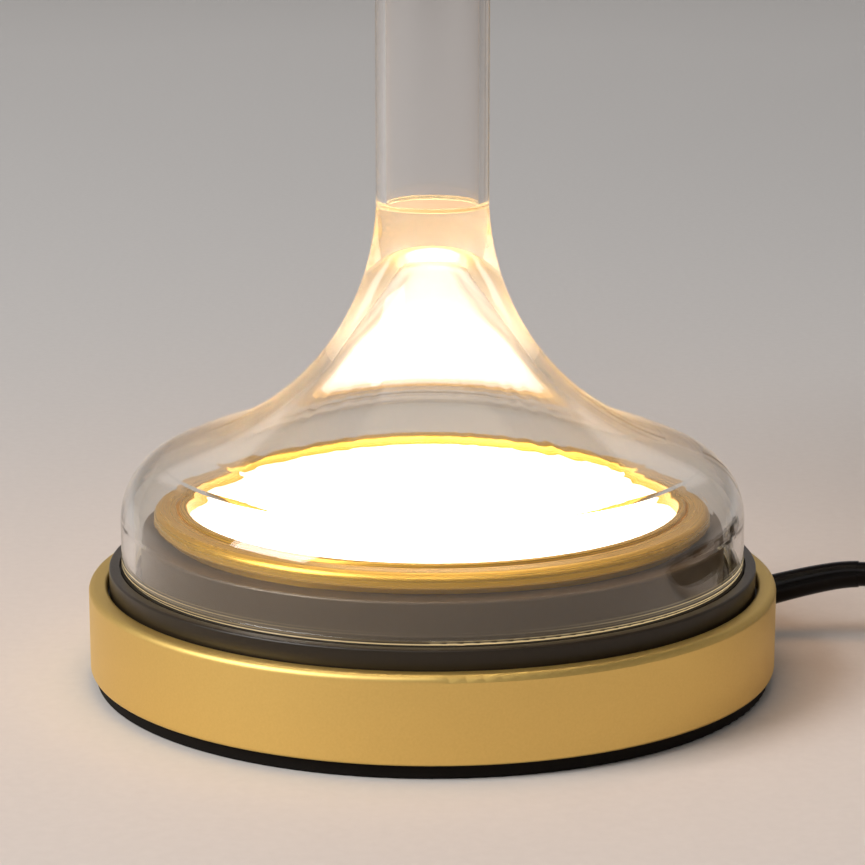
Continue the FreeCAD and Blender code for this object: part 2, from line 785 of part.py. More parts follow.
def long_edges_at(shape, z, direction):
    """The straight edges at one height that run along a direction."""
    found = []
    for edge in shape.Edges:
        ends = [vertex.Point for vertex in edge.Vertexes]
        if len(ends) == 2 and all(abs(p.z - z) < 1e-6 for p in ends):
            if abs(unit(ends[1] - ends[0]).dot(direction)) > 0.999:
                found.append(edge)
    return found


def cord_clamp_screws():
    solids = []
    for sign in (-1, 1):
        one = turned_over(screw(CLAMP_THICK))
        one.translate(V(0, sign * clamp_screw_side(), PLATE_TOP + CLAMP_THICK))
        solids.append(laid(one, tuple(polar(CLAMP_CIRCLE, CORD_ANGLE))[:2], CORD_ANGLE))
    return Part.makeCompound(solids)


def cord_exit():
    """The point where the cord leaves the gland, and the way it heads."""
    tip = polar(GLAND_TIP_RADIUS, CORD_ANGLE, CORD_HEIGHT + GLAND_RISE)
    return tip, unit(CORD_TO_SWITCH[0] - tip)


def cord_gland():
    """A bush through the base's wall: neck, flange on the wall and a short nose."""
    inner = WALL_INSIDE - BASE_WALL
    outer = V(BASE_RADIUS + GLAND_FLANGE_THICK, 0, CORD_HEIGHT)
    neck = rod(GLAND_NECK, V(inner, 0, CORD_HEIGHT), outer)
    flange = rod(GLAND_FLANGE, V(inner, 0, CORD_HEIGHT), outer).cut(ring(0, BASE_RADIUS, 0, BASE_HEIGHT))
    bush = spun(fused([neck, flange]), CORD_ANGLE)
    tip, heading = cord_exit()
    nose = rod(GLAND_NOSE, tip - heading * (GLAND_TIP_RADIUS - BASE_RADIUS - FIT), tip)
    return fused([bush, nose])


# Glass


def bell_arcs(inset):
    """The bell's side at a depth inside its outer face: shoulder, crown and flare.

    Each arc is its start, its end and its centre, as radius and height. A heading is the angle
    of the way up the side, over the inward direction.
    """
    shoulder = math.radians(90 - SHOULDER_SLOPE)
    first = V(GLASS_RADIUS - SHOULDER_RADIUS, SEAT_TOP + SHOULDER_RISE, 0)
    small = SHOULDER_RADIUS - inset
    a = first + V(small, 0, 0)
    b = first + V(small * math.cos(shoulder), small * math.sin(shoulder), 0)
    out = V(math.cos(shoulder), math.sin(shoulder), 0)
    second = first - out * (CROWN_RADIUS - SHOULDER_RADIUS)
    crown = math.radians(90 - CROWN_SLOPE)
    normal = V(math.cos(crown), math.sin(crown), 0)
    c = second + normal * (CROWN_RADIUS - inset)
    outer_end = second + normal * CROWN_RADIUS
    chord = V(TUBE_RADIUS, NECK_TOP, 0) - outer_end
    flare = chord.Length ** 2 / (2 * chord.dot(normal))
    third = outer_end + normal * flare
    to_neck = unit(V(TUBE_RADIUS, NECK_TOP, 0) - third)
    d = third + to_neck * (flare + inset)
    return (a, b, first), (b, c, second), (c, d, third)


def side_arc(start, end, centre):
    """The short arc between two points about a centre."""
    radius = (start - centre).Length
    middle = centre + unit((start - centre) + (end - centre)) * radius
    return Part.Arc(*[in_section(p.x, p.y) for p in (start, middle, end)]).toShape()


def side_line(start, end):
    return line(in_section(start.x, start.y), in_section(end.x, end.y))


def glass_bell():
    """A blown bell: its wall thins out of a solid neck and closes over a rounded hollow."""
    outer = bell_arcs(0.0)
    inner = bell_arcs(GLASS_WALL)
    flare_centre = inner[2][2]
    flare_radius = (inner[2][0] - flare_centre).Length
    tip_centre = V(0, NECK_TOP - NECK_SOLID - CAVITY_TIP, 0)
    between = flare_centre - tip_centre
    swing = math.acos((CAVITY_TIP + flare_radius) / between.Length)
    angle = math.atan2(between.y, between.x) + swing
    normal = V(math.cos(angle), math.sin(angle), 0)
    tip_side = tip_centre + normal * CAVITY_TIP
    flare_side = flare_centre - normal * flare_radius
    tip_top = tip_centre + V(0, CAVITY_TIP, 0)

    rim = GLASS_RIM
    bottom = SEAT_TOP
    foot_out = [V(GLASS_RADIUS - rim, bottom, 0), V(GLASS_RADIUS, bottom + rim, 0)]
    foot_in = [V(GLASS_INSIDE, bottom + rim, 0), V(GLASS_INSIDE + rim, bottom, 0)]
    edges = [
        side_line(foot_in[1], foot_out[0]),
        side_arc(foot_out[0], foot_out[1], V(GLASS_RADIUS - rim, bottom + rim, 0)),
        side_line(foot_out[1], outer[0][0]),
    ]
    edges += [side_arc(*arc) for arc in outer]
    neck = V(TUBE_RADIUS, NECK_TOP, 0)
    top = V(0, NECK_TOP, 0)
    edges += [side_line(neck, top), side_line(top, tip_top)]
    edges += [side_arc(tip_top, tip_side, tip_centre), side_line(tip_side, flare_side)]
    edges += [side_arc(flare_side, inner[2][0], flare_centre)]
    edges += [side_arc(end, start, centre) for start, end, centre in (inner[1], inner[0])]
    edges += [side_line(inner[0][0], foot_in[0])]
    edges += [side_arc(foot_in[0], foot_in[1], V(GLASS_INSIDE + rim, bottom + rim, 0))]
    return Part.Face(Part.Wire(edges)).revolve(V(0, 0, 0), UP, 360)


def tube_joint_ring():
    return ring(TUBE_BORE, TUBE_RADIUS, NECK_TOP, TUBE_BOTTOM)


def glass_tube():
    edge = TUBE_WALL / 6
    return turned([
        (TUBE_BORE, TUBE_BOTTOM),
        (TUBE_RADIUS, TUBE_BOTTOM),
        (TUBE_RADIUS, TUBE_TOP, edge),
        (TUBE_BORE, TUBE_TOP, edge),
    ])


# Reflector shade


def carrier_sleeve():
    outside = TUBE_BORE - RUN
    return ring(outside - SLEEVE_WALL, outside, TUBE_TOP - CARRIER_DEPTH, TUBE_TOP)


def shade_carrier():
    """The turned plug in the tube's end, with the flange that the shade lies on."""
    core = TUBE_BORE - RUN - SLEEVE_WALL
    stud_top = CARRIER_TOP + SHADE_WALL + WASHER_THICK + STUD_REACH
    return turned([
        (0, TUBE_TOP - CARRIER_DEPTH),
        (core, TUBE_TOP - CARRIER_DEPTH, 1.0),
        (core, TUBE_TOP),
        (CARRIER_FLANGE, TUBE_TOP),
        (CARRIER_FLANGE, CARRIER_TOP, 1.0),
        (CARRIER_STUD, CARRIER_TOP),
        (CARRIER_STUD, stud_top, 0.5),
        (0, stud_top),
    ])


def shade():
    """A spun dome: a flat seat, a round side and a bead at the rim."""
    top = CARRIER_TOP + SHADE_WALL
    rim = top - SHADE_DEPTH

    def side(inset):
        """The arc from the flat seat to the rim, moved in by a wall."""
        start = V(SHADE_FLAT, top - inset, 0)
        end = V(SHADE_RADIUS - inset, rim, 0)
        chord = end - start
        radius = chord.Length ** 2 / (2 * -chord.y)
        centre = start - V(0, radius, 0)
        return start, end, centre

    outer = side(0.0)
    inner = side(SHADE_WALL)
    hole_top = V(CARRIER_STUD + FIT, top, 0)
    hole_under = V(CARRIER_STUD + FIT, CARRIER_TOP, 0)
    edges = [
        side_line(hole_top, outer[0]),
        side_arc(*outer),
        side_line(outer[1], inner[1]),
        side_arc(inner[1], inner[0], inner[2]),
        side_line(inner[0], hole_under),
        side_line(hole_under, hole_top),
    ]
    dome = Part.Face(Part.Wire(edges)).revolve(V(0, 0, 0), UP, 360)
    bead = Part.makeTorus(SHADE_RADIUS - SHADE_WALL / 2, SHADE_BEAD, V(0, 0, rim), UP)
    return fused([dome, bead])


def shade_washer():
    bottom = CARRIER_TOP + SHADE_WALL
    return ring(CARRIER_STUD + FIT, FINIAL_RADIUS, bottom, bottom + WASHER_THICK)


def shade_finial():
    """The knob that screws down on the carrier's stud."""
    bottom = CARRIER_TOP + SHADE_WALL + WASHER_THICK
    top = bottom + FINIAL_HEIGHT
    bore_top = bottom + STUD_REACH + FIT
    return turned([
        (CARRIER_STUD + FIT, bottom),
        (FINIAL_RADIUS, bottom, 0.6),
        (FINIAL_RADIUS, bottom + FINIAL_SKIRT, 0.6),
        (FINIAL_WAIST, bottom + 1.5 * FINIAL_SKIRT, 1.5),
        (FINIAL_CROWN, top, 3.0),
        (0, top),
        (0, bore_top),
        (CARRIER_STUD + FIT, bore_top),
    ])


# Cord: tubes and coil


def round_path(points):
    """Straight runs joined by tangent arcs, each as large as its two runs allow."""
    share = 0.45
    edges = []
    radii = []
    here = points[0]
    for before, corner, after in zip(points[:-2], points[1:-1], points[2:]):
        back = before - corner
        on = after - corner
        reach = share * min(back.Length, on.Length)
        turn = math.pi - back.getAngle(on)
        radii.append(reach / math.tan(turn / 2))
        enter = corner + unit(back) * reach
        leave = corner + unit(on) * reach
        edges.append(line(here, enter))
        edges.append(arc_by_tangents(enter, corner, leave))
        here = leave
    edges.append(line(here, points[-1]))
    return Part.Wire(edges), radii


def swept(path, radius):
    """A round tube along a path that starts with a straight run."""
    first = path.OrderedEdges[0]
    start = first.Vertexes[0].Point
    heading = unit(first.Vertexes[-1].Point - start)
    circle = Part.Wire(Part.makeCircle(radius, start, heading))
    shell = Part.BRepOffsetAPI.MakePipeShell(path)
    shell.add(circle, False, False)
    shell.build()
    shell.makeSolid()
    return shell.shape()


def tube_along(points, radius):
    path, radii = round_path(points)
    return swept(path, radius), path.Length, radii


def cord_length(name, points):
    """A free stretch of cord, with its length, volume and radii told."""
    solid, length, radii = tube_along(points, CORD_RADIUS)
    ideal = math.pi * CORD_RADIUS ** 2 * length
    lowest = solid.BoundBox.ZMin
    told = " ".join("%.0f" % radius for radius in radii)
    print("%s: %.0f mm, volume %.4f of section by length, lowest %.2f, radii %s" % (
        name, length, solid.Volume / ideal, lowest, told))
    return solid


def coil_point(turn):
    """A point of the coil's centre line, by the turns wound so far."""
    layer = COIL_LAYER_TURNS
    climb = COIL_CLIMB_TURNS
    inner = COIL_RADIUS - COIL_PITCH * layer
    low = CORD_RADIUS + COIL_CLEAR
    if turn <= layer:
        radius, height = COIL_RADIUS - COIL_PITCH * turn, low
    elif turn < layer + climb:
        share = (turn - layer) / climb
        radius = inner - COIL_DIP * math.sin(math.pi * share)
        height = low + COIL_PITCH * (1 - math.cos(math.pi * share)) / 2
    else:
        radius, height = inner + COIL_PITCH * (turn - layer - climb), low + COIL_PITCH
    return on_cord(*COIL_PLACE) + polar(radius, COIL_START + 360.0 * turn, height)


COIL_TURNS = 2 * COIL_LAYER_TURNS + COIL_CLIMB_TURNS


def coil_heading(turn):
    """The way the cord runs at a point of the coil. It is level at both ends."""
    step = 0.01
    heading = coil_point(min(turn + step, COIL_TURNS)) - coil_point(max(turn - step, 0.0))
    return unit(heading)


def biarc(start, start_heading, end, end_heading):
    """Two arcs that join two points along the given headings."""
    across = end - start
    both = start_heading + end_heading
    spread = 2 * (1 - start_heading.dot(end_heading))
    along = across.dot(both)
    reach = (-along + math.sqrt(along ** 2 + spread * across.dot(across))) / spread
    first = start + start_heading * reach
    last = end - end_heading * reach
    joint = (first + last) * 0.5
    return [arc_by_tangents(start, first, joint), arc_by_tangents(joint, last, end)]


def coil_ends():
    """The first and last points of the coil, one cord diameter beyond its turns."""
    start = coil_point(0.0) - coil_heading(0.0) * CORD_DIAMETER
    end = coil_point(COIL_TURNS) + coil_heading(COIL_TURNS) * CORD_DIAMETER
    return start, end


def coil_path():
    start, end = coil_ends()
    steps = round(COIL_TURNS * 4)
    turns = [COIL_TURNS * i / steps for i in range(steps + 1)]
    edges = [line(start, coil_point(0.0))]
    for a, b in zip(turns[:-1], turns[1:]):
        edges += biarc(coil_point(a), coil_heading(a), coil_point(b), coil_heading(b))
    edges.append(line(coil_point(COIL_TURNS), end))
    return Part.Wire(edges)


def coil_gap():
    """The least gap between the coil's own turns, measured on points of its centre line."""
    per_turn = 72
    count = round(COIL_TURNS * per_turn)
    points = [coil_point(i / per_turn) for i in range(count + 1)]
    near = per_turn // 2
    least = min((p - q).Length for i, p in enumerate(points) for q in points[i + near:])
    return least - CORD_DIAMETER


def cord_coil():
    path = coil_path()
    solid = swept(path, CORD_RADIUS)
    ideal = math.pi * CORD_RADIUS ** 2 * path.Length
    print("cord_coil: %.0f mm, volume %.4f of section by length, least gap %.2f" % (
        path.Length, solid.Volume / ideal, coil_gap()))
    return solid


def coil_tie():
    """A strap round the bundle of turns."""
    first = (TIE_ANGLE - COIL_START) / 360.0 % 1.0
    middle = on_cord(*COIL_PLACE)
    crossings = [coil_point(first + turn) - middle for turn in range(math.ceil(COIL_TURNS - first))]
    radii = [math.hypot(point.x, point.y) for point in crossings]
    bow = TIE_WIDTH ** 2 / (8 * min(radii))
    inner = min(radii) - CORD_RADIUS - bow - TIE_CLEAR
    outer = max(radii) + CORD_RADIUS + TIE_CLEAR
    low = COIL_CLEAR - TIE_CLEAR
    high = COIL_CLEAR + CORD_DIAMETER + COIL_PITCH + TIE_CLEAR

    def band(grow):
        corners = [
            (inner - grow, low - grow, TIE_ROUND + grow),
            (outer + grow, low - grow, TIE_ROUND + grow),
            (outer + grow, high + grow, TIE_ROUND + grow),
            (inner - grow, high + grow, TIE_ROUND + grow),
        ]
        face = Part.Face(outline(corners, in_section))
        face.translate(V(0, -TIE_WIDTH / 2, 0))
        return face.extrude(V(0, TIE_WIDTH, 0))

    return laid(band(TIE_THICK).cut(band(0.0)), middle, TIE_ANGLE)


# The places that the cord's free stretches turn at, as chosen
CORD_TO_SWITCH = [
    on_cord(13.0, 1.5, 12.7),
    on_cord(27.5, 0.1, 15.6),
    on_cord(44.0, -8.6, 14.6),
    on_cord(58.5, -27.0, 10.2),
    on_cord(76.5, -46.5, 5.8),
    on_cord(101.0, -60.5, 3.4),
    on_cord(128.5, -65.5, 3.1),
    on_cord(153.5, -60.0, 3.5),
    on_cord(170.5, -45.5, 5.0),
    on_cord(179.3, -29.0, 7.1),
]
SWITCH_LEAD = 10.2
CORD_TO_COIL = [on_cord(178.0, 91.9, 5.4)]
COIL_LEAD = 15.0
PLUG_LEAD = 14.0


def switch_end(side):
    """The middle of one end face of the switch: -1 towards the lamp, 1 towards the plug."""
    heading = polar(1, SWITCH_HEADING)
    return on_cord(*SWITCH_PLACE, SWITCH_HEIGHT / 2) + heading * (side * SWITCH_LENGTH / 2)


def cord_lamp_to_switch():
    end = switch_end(-1)
    lead = end - polar(SWITCH_LEAD, SWITCH_HEADING)
    return cord_length("cord_lamp_to_switch", [cord_exit()[0]] + CORD_TO_SWITCH + [lead, end])


def cord_switch_to_coil():
    start = switch_end(1)
    end = coil_ends()[0]
    heading = polar(1, SWITCH_HEADING)
    points = [start, start + heading * COIL_LEAD] + CORD_TO_COIL
    points += [end - coil_heading(0.0) * COIL_LEAD, end]
    return cord_length("cord_switch_to_coil", points)


def cord_coil_to_plug():
    start = coil_ends()[1]
    end = plug_point(-PLUG_LENGTH - RELIEF_LENGTH)
    lead = coil_heading(COIL_TURNS)
    points = [start, start + lead * PLUG_LEAD, end - polar(PLUG_LEAD, PLUG_HEADING), end]
    return cord_length("cord_coil_to_plug", points)


# In-line switch, made along +X with its underside at height 0


def switch_plan(inset, end_inset):
    """The plan of the switch: straight sides that draw in towards both ends."""
    x = SWITCH_LENGTH / 2 - end_inset
    y = SWITCH_WIDTH / 2 - inset
    e = SWITCH_END_WIDTH / 2 - inset
    k = SWITCH_LENGTH / 2 - SWITCH_TAPER
    big, small = 2 * SWITCH_ROUND, SWITCH_ROUND / 2
    return [
        (-x, -e, small), (-k, -y, big), (k, -y, big), (x, -e, small),
        (x, e, small), (k, y, big), (-k, y, big), (-x, e, small),
    ]


def cord_ports(radius):
    z = SWITCH_HEIGHT / 2
    return rod(radius, V(-SWITCH_LENGTH, 0, z), V(SWITCH_LENGTH, 0, z))


def switch_screw_places():
    x = SWITCH_LENGTH / 2 - SWITCH_TAPER - SWITCH_POST / 2
    y = SWITCH_WIDTH / 2 - SWITCH_WALL - SWITCH_POST
    return [V(-x, -y, 0), V(x, y, 0)]


def switch_lower_shell():
    half = SWITCH_HEIGHT / 2
    body = slab(switch_plan(0, 0), 0, half)
    body = body.makeFillet(SWITCH_EDGE / 2, flat_edges(body, 0))
    hollow = slab(switch_plan(SWITCH_WALL, SWITCH_END_SOLID), SWITCH_WALL, half)
    posts = [rod(SWITCH_POST, p + UP * SWITCH_WALL, p + UP * half) for p in switch_screw_places()]
    body = fused([body.cut(hollow)] + posts)
    drills = [rod(SWITCH_SCREW_RADIUS + FIT, p, p + UP * half) for p in switch_screw_places()]
    heads = [rod(SWITCH_SCREW_HEAD + FIT, p, p + UP * SWITCH_SCREW_SUNK) for p in switch_screw_places()]
    return body.cut(drills + heads + [cord_ports(CORD_RADIUS)])


def flat_edges(shape, z):
    """The edges that lie whole at one height."""
    boxes = [(edge, edge.BoundBox) for edge in shape.Edges]
    return [edge for edge, box in boxes if abs(box.ZMin - z) < 1e-6 and abs(box.ZMax - z) < 1e-6]


def rocker_place():
    """The middle of the rocker's pin."""
    return V(0, 0, SWITCH_HEIGHT - ROCKER_PIN_DROP)


def switch_upper_shell():
    half = SWITCH_HEIGHT / 2
    body = slab(switch_plan(0, 0), half, SWITCH_HEIGHT)
    body = body.makeFillet(SWITCH_EDGE, flat_edges(body, SWITCH_HEIGHT))
    roof = SWITCH_HEIGHT - SWITCH_WALL
    hollow = slab(switch_plan(SWITCH_WALL, SWITCH_END_SOLID), half, roof)
    window = block(ROCKER_LENGTH + 2 * GAP, ROCKER_WIDTH + 2 * GAP, half, 2 * SWITCH_HEIGHT, (0, 0), 1.0)
    length, depth = ROCKER_CHEEK
    cheek = block(length, SWITCH_WIDTH - 2 * SWITCH_WALL, SWITCH_HEIGHT - depth, roof)
    places = switch_screw_places()
    posts = [rod(SWITCH_POST, p + UP * half, p + UP * roof) for p in places]
    body = fused([body.cut(hollow), cheek] + posts).cut(window)
    drills = [rod(SWITCH_SCREW_RADIUS, p + UP * half, p + UP * (half + SWITCH_SCREW_REACH)) for p in places]
    return body.cut(drills + [switch_pin(), cord_ports(CORD_RADIUS)])


def switch_rocker():
    """The rocker, tilted on, with a crowned top and a keel that works the spring."""
    x = ROCKER_LENGTH / 2
    top = SWITCH_HEIGHT + ROCKER_CROWN
    skirt = SWITCH_HEIGHT - ROCKER_SKIRT
    low = SWITCH_HEIGHT - ROCKER_DEPTH
    wide, narrow, keel = ROCKER_KEEL
    right = [
        (0, top - ROCKER_CROWN, ROCKER_DISH), (x - 1.0, top, 1.0), (x, skirt, 0.8),
        (wide, low, 1.0), (narrow, low - keel, 0.8),
    ]
    corners = right + [(-corner[0], *corner[1:]) for corner in reversed(right[1:])]
    face = Part.Face(outline(corners, in_section))
    face.translate(V(0, -ROCKER_WIDTH / 2, 0))
    body = face.extrude(V(0, ROCKER_WIDTH, 0))
    across = V(0, ROCKER_WIDTH, 0)
    body = body.cut(rod(ROCKER_PIN + RUN, rocker_place() - across, rocker_place() + across))
    body.rotate(rocker_place(), V(0, 1, 0), ROCKER_TILT)
    return body


def switch_pin():
    reach = SWITCH_WIDTH / 2 - SWITCH_WALL - 1.0
    return rod(ROCKER_PIN, rocker_place() - V(0, reach, 0), rocker_place() + V(0, reach, 0))


def switch_contact_spring():
    """A bent leaf under the rocker's keel, fixed to the lower shell at one end."""
    low = SWITCH_WALL
    high = low + LEAF_LIFT
    start, rise = LEAF_FOOT
    level, bend, tip = LEAF_SPAN
    under = [(start, low), (rise, low), (level, high), (bend, high), (tip, high - LEAF_DROP)]
    lean = LEAF_THICK / 2
    shift = (0, -lean, -lean, 0, 0)
    over = [(x + move, z + LEAF_THICK) for (x, z), move in zip(under, shift)]
    face = Part.Face(outline(under + over[::-1], in_section))
    face.translate(V(0, -LEAF_WIDTH / 2, 0))
    return face.extrude(V(0, LEAF_WIDTH, 0))


def switch_contacts():
    """The fixed contact under the spring's free end, and its terminal."""
    z = SWITCH_WALL
    length, middle, thick = CONTACT_BASE
    radius, place, height = CONTACT_TIP
    clamp_length, clamp_middle, clamp_height = CONTACT_CLAMP
    base = block(length, LEAF_WIDTH, z, z + thick, (middle, 0))
    tip = rod(radius, V(place, 0, z + thick), V(place, 0, z + height))
    clamp = block(clamp_length, LEAF_WIDTH, z + thick, z + clamp_height, (clamp_middle, 0))
    return fused([base, tip, clamp])


def switch_cord_ends():
    """The cord's ends inside the switch, from each end face to its grip."""
    z = SWITCH_HEIGHT / 2
    inner = grip_place() - GRIP_WIDTH / 2
    outer = SWITCH_LENGTH / 2
    return Part.makeCompound([
        rod(CORD_RADIUS, V(sign * inner, 0, z), V(sign * outer, 0, z)) for sign in (-1, 1)])


def grip_place():
    """How far from the middle of the switch a cord grip stands."""
    return SWITCH_LENGTH / 2 - SWITCH_END_SOLID - GRIP_OFFSET


def switch_cord_grips():
    """A bridge over each cord end, standing on the lower shell."""
    top = SWITCH_HEIGHT / 2 + CORD_RADIUS + GRIP_WALL
    solids = []
    for sign in (-1, 1):
        middle = (sign * grip_place(), 0)
        saddle = block(GRIP_WIDTH, CORD_DIAMETER + 2 * GRIP_WALL, SWITCH_WALL, top, middle, 0.5)
        solids.append(saddle.cut(cord_ports(CORD_RADIUS)))
    return Part.makeCompound(solids)


def switch_screws():
    solids = []
    for place in switch_screw_places():
        head = rod(SWITCH_SCREW_HEAD, place, place + UP * SWITCH_SCREW_SUNK)
        shank = rod(SWITCH_SCREW_RADIUS, place, place + UP * (SWITCH_HEIGHT / 2 + SWITCH_SCREW_REACH))
        slot = block(2 * SWITCH_SCREW_HEAD, RECESS_WIDTH / 2, 0, SWITCH_SCREW_SUNK / 2, (place.x, place.y))
        solids.append(fused([head, shank]).cut(slot))
    return Part.makeCompound(solids)


def in_line(shape):
    """A piece of the switch, laid where the switch lies."""
    return laid(shape, on_cord(*SWITCH_PLACE), SWITCH_HEADING)


# Plug, made along +X with its pin face at the origin and its middle at height 0


def plug_point(x):
    return on_cord(*PLUG_PLACE, PLUG_HEIGHT / 2) + polar(x, PLUG_HEADING)


def plug_section(x, width, height, round_off):
    def across(a, b):
        return V(x, a, b)

    w, h = width / 2, height / 2
    corners = [(sx * w, sy * h, round_off) for sx, sy in ((-1, -1), (1, -1), (1, 1), (-1, 1))]
    return outline(corners, across)


def plug_body():
    """A flat moulded body that narrows from the pin face to the cord."""
    front = plug_section(0, PLUG_WIDTH, PLUG_HEIGHT, PLUG_ROUND)
    waist = plug_section(-PLUG_WAIST, PLUG_WIDTH, PLUG_HEIGHT, PLUG_ROUND)
    tail = plug_section(-PLUG_LENGTH, PLUG_TAIL_WIDTH, PLUG_TAIL_HEIGHT, PLUG_ROUND)
    body = fused([Part.makeLoft([front, waist], True, True), Part.makeLoft([waist, tail], True, True)])
    return body.cut(pin_rods(PIN_SLEEVE_RADIUS, -PIN_ROOT, 0))


def pin_rods(radius, start, end):
    return [rod(radius, V(start, side, 0), V(end, side, 0)) for side in (-PIN_SPACING / 2, PIN_SPACING / 2)]


def plug_pins():
    """Two pins with a thin core inside the sleeve and a full-size round-ended tip."""
    solids = []
    cores = pin_rods(PIN_CORE, -PIN_ROOT, PIN_SLEEVE_LENGTH)
    for core, tip in zip(cores, pin_rods(PIN_RADIUS, PIN_SLEEVE_LENGTH, PIN_LENGTH)):
        end = [edge for edge in tip.Edges if edge.BoundBox.XMin > PIN_LENGTH - 1e-3]
        solids.append(fused([core, tip.makeFillet(PIN_ROUND, end)]))
    return Part.makeCompound(solids)


def plug_pin_sleeves():
    sleeves = pin_rods(PIN_SLEEVE_RADIUS, -PIN_ROOT, PIN_SLEEVE_LENGTH)
    cores = pin_rods(PIN_CORE, -PIN_ROOT, PIN_SLEEVE_LENGTH)
    return Part.makeCompound([sleeve.cut(core) for sleeve, core in zip(sleeves, cores)])


def plug_strain_relief():
    """A tapered sleeve with grooves that let it flex."""
    corners = [(0, 0), (RELIEF_RADIUS, 0)]
    for i in range(RELIEF_RIBS):
        share = (i + 1) / (RELIEF_RIBS + 1)
        z = RELIEF_LENGTH * share
        radius = RELIEF_RADIUS + (RELIEF_TIP - RELIEF_RADIUS) * share
        waist = radius - RELIEF_GROOVE
        corners += [(radius, z - RELIEF_GROOVE), (waist, z - RELIEF_GROOVE), (waist, z), (radius, z)]
    corners += [(RELIEF_TIP, RELIEF_LENGTH), (0, RELIEF_LENGTH)]
    sleeve = turned(corners)
    sleeve.rotate(V(0, 0, 0), V(0, 1, 0), -90)
    sleeve.translate(V(-PLUG_LENGTH, 0, 0))
    return sleeve


def on_plug(shape):
    return laid(shape, on_cord(*PLUG_PLACE), PLUG_HEADING, PLUG_HEIGHT / 2)


PIECES = {
    "foot_pad": foot_pad,
    "bottom_plate": bottom_plate,
    "bottom_plate_screws": bottom_plate_screws,
    "base_ring": base_ring,
    "ballast_ring": ballast_ring,
    "glass_seat_ring": glass_seat_ring,
    "glass_gasket": glass_gasket,
    "led_housing": led_housing,
    "housing_screws": housing_screws,
    "led_board": led_board,
    "led_board_screws": led_board_screws,
    "led_chips": led_chips,
    "reflector_ring": reflector_ring,
    "diffuser": diffuser,
    "bezel": bezel,
    "driver_case": driver_case,
    "driver_lid": driver_lid,
    "driver_board": driver_board,
    "driver_transformer": driver_transformer,
    "driver_capacitors": driver_capacitors,
    "driver_choke": driver_choke,
    "driver_terminal_block": driver_terminal_block,
    "led_leads": led_leads,
    "mains_leads": mains_leads,
    "cord_inner": cord_inner,
    "cord_clamp": cord_clamp,
    "cord_clamp_screws": cord_clamp_screws,
    "cord_gland": cord_gland,
    "glass_bell": glass_bell,
    "tube_joint_ring": tube_joint_ring,
    "glass_tube": glass_tube,
    "shade_carrier": shade_carrier,
    "carrier_sleeve": carrier_sleeve,
    "shade": shade,
    "shade_washer": shade_washer,
    "shade_finial": shade_finial,
    "cord_lamp_to_switch": cord_lamp_to_switch,
    "switch_lower_shell": lambda: in_line(switch_lower_shell()),
    "switch_upper_shell": lambda: in_line(switch_upper_shell()),
    "switch_rocker": lambda: in_line(switch_rocker()),
    "switch_pin": lambda: in_line(switch_pin()),
    "switch_contacts": lambda: in_line(switch_contacts()),
    "switch_contact_spring": lambda: in_line(switch_contact_spring()),
    "switch_cord_grips": lambda: in_line(switch_cord_grips()),
    "switch_cord_ends": lambda: in_line(switch_cord_ends()),
    "switch_screws": lambda: in_line(switch_screws()),
    "cord_switch_to_coil": cord_switch_to_coil,
    "cord_coil": cord_coil,
    "coil_tie": coil_tie,
    "cord_coil_to_plug": cord_coil_to_plug,
    "plug_strain_relief": lambda: on_plug(plug_strain_relief()),
    "plug_body": lambda: on_plug(plug_body()),
    "plug_pins": lambda: on_plug(plug_pins()),
    "plug_pin_sleeves": lambda: on_plug(plug_pin_sleeves()),
}


def main():
    os.makedirs("parts", exist_ok=True)
    for name, make in PIECES.items():
        make().exportStep("parts/%s.step" % name)


main()
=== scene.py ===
"""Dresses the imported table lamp: finishes, blown glass, mains cord, floor, light and camera."""

import math

import bpy
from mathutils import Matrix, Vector


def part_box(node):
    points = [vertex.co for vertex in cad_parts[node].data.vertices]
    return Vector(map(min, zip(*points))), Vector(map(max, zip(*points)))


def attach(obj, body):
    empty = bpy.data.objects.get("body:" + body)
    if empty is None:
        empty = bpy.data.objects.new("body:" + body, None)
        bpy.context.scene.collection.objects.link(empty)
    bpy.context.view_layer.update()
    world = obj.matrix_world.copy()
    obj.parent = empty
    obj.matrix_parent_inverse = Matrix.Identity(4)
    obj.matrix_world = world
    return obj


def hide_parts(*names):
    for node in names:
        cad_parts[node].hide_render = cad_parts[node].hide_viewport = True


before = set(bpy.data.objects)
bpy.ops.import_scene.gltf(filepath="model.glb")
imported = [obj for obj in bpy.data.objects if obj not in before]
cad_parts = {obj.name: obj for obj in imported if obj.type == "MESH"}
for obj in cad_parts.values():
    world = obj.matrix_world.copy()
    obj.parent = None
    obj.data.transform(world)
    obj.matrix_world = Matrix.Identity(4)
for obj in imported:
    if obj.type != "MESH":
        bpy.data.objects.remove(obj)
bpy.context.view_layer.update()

bl_info = {
    "name": "Glass Bell Table Lamp",
    "version": (1, 0, 0),
    "blender": (4, 5, 0),
    "location": "3D View > Sidebar > Lamp",
    "description": "Finishes and sets up a table lamp with a blown glass bell",
    "category": "Object",
}

MM = 0.001
# Where the cord leaves the base's wall, at table height, in millimetres
CORD_ANGLE = math.radians(18.7)
CORD_ROOT = Vector((math.cos(CORD_ANGLE), math.sin(CORD_ANGLE), 0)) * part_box("base_ring")[1].x / MM

NECK_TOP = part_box("glass_bell")[1].z
SEAT_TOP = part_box("glass_seat_ring")[1].z
DIFFUSER_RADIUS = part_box("diffuser")[1].x

# Round the hollow's tip this cone runs inside the bell's wall:
# distance from the axis + lean * height = reach
HOLLOW_LEAN = 0.55
HOLLOW_REACH = 60.6 * MM
# The heights between which the hollow's inner face becomes misty
TIP_START = 67 * MM
TIP_FULL = 78 * MM

# The powers that narrow the tip's pale fill, the haze seen edge on and the glow in the diffuser's middle
FILL_POWER = 5.0
EDGE_POWER = 3.0
GLOW_POWER = 2.0

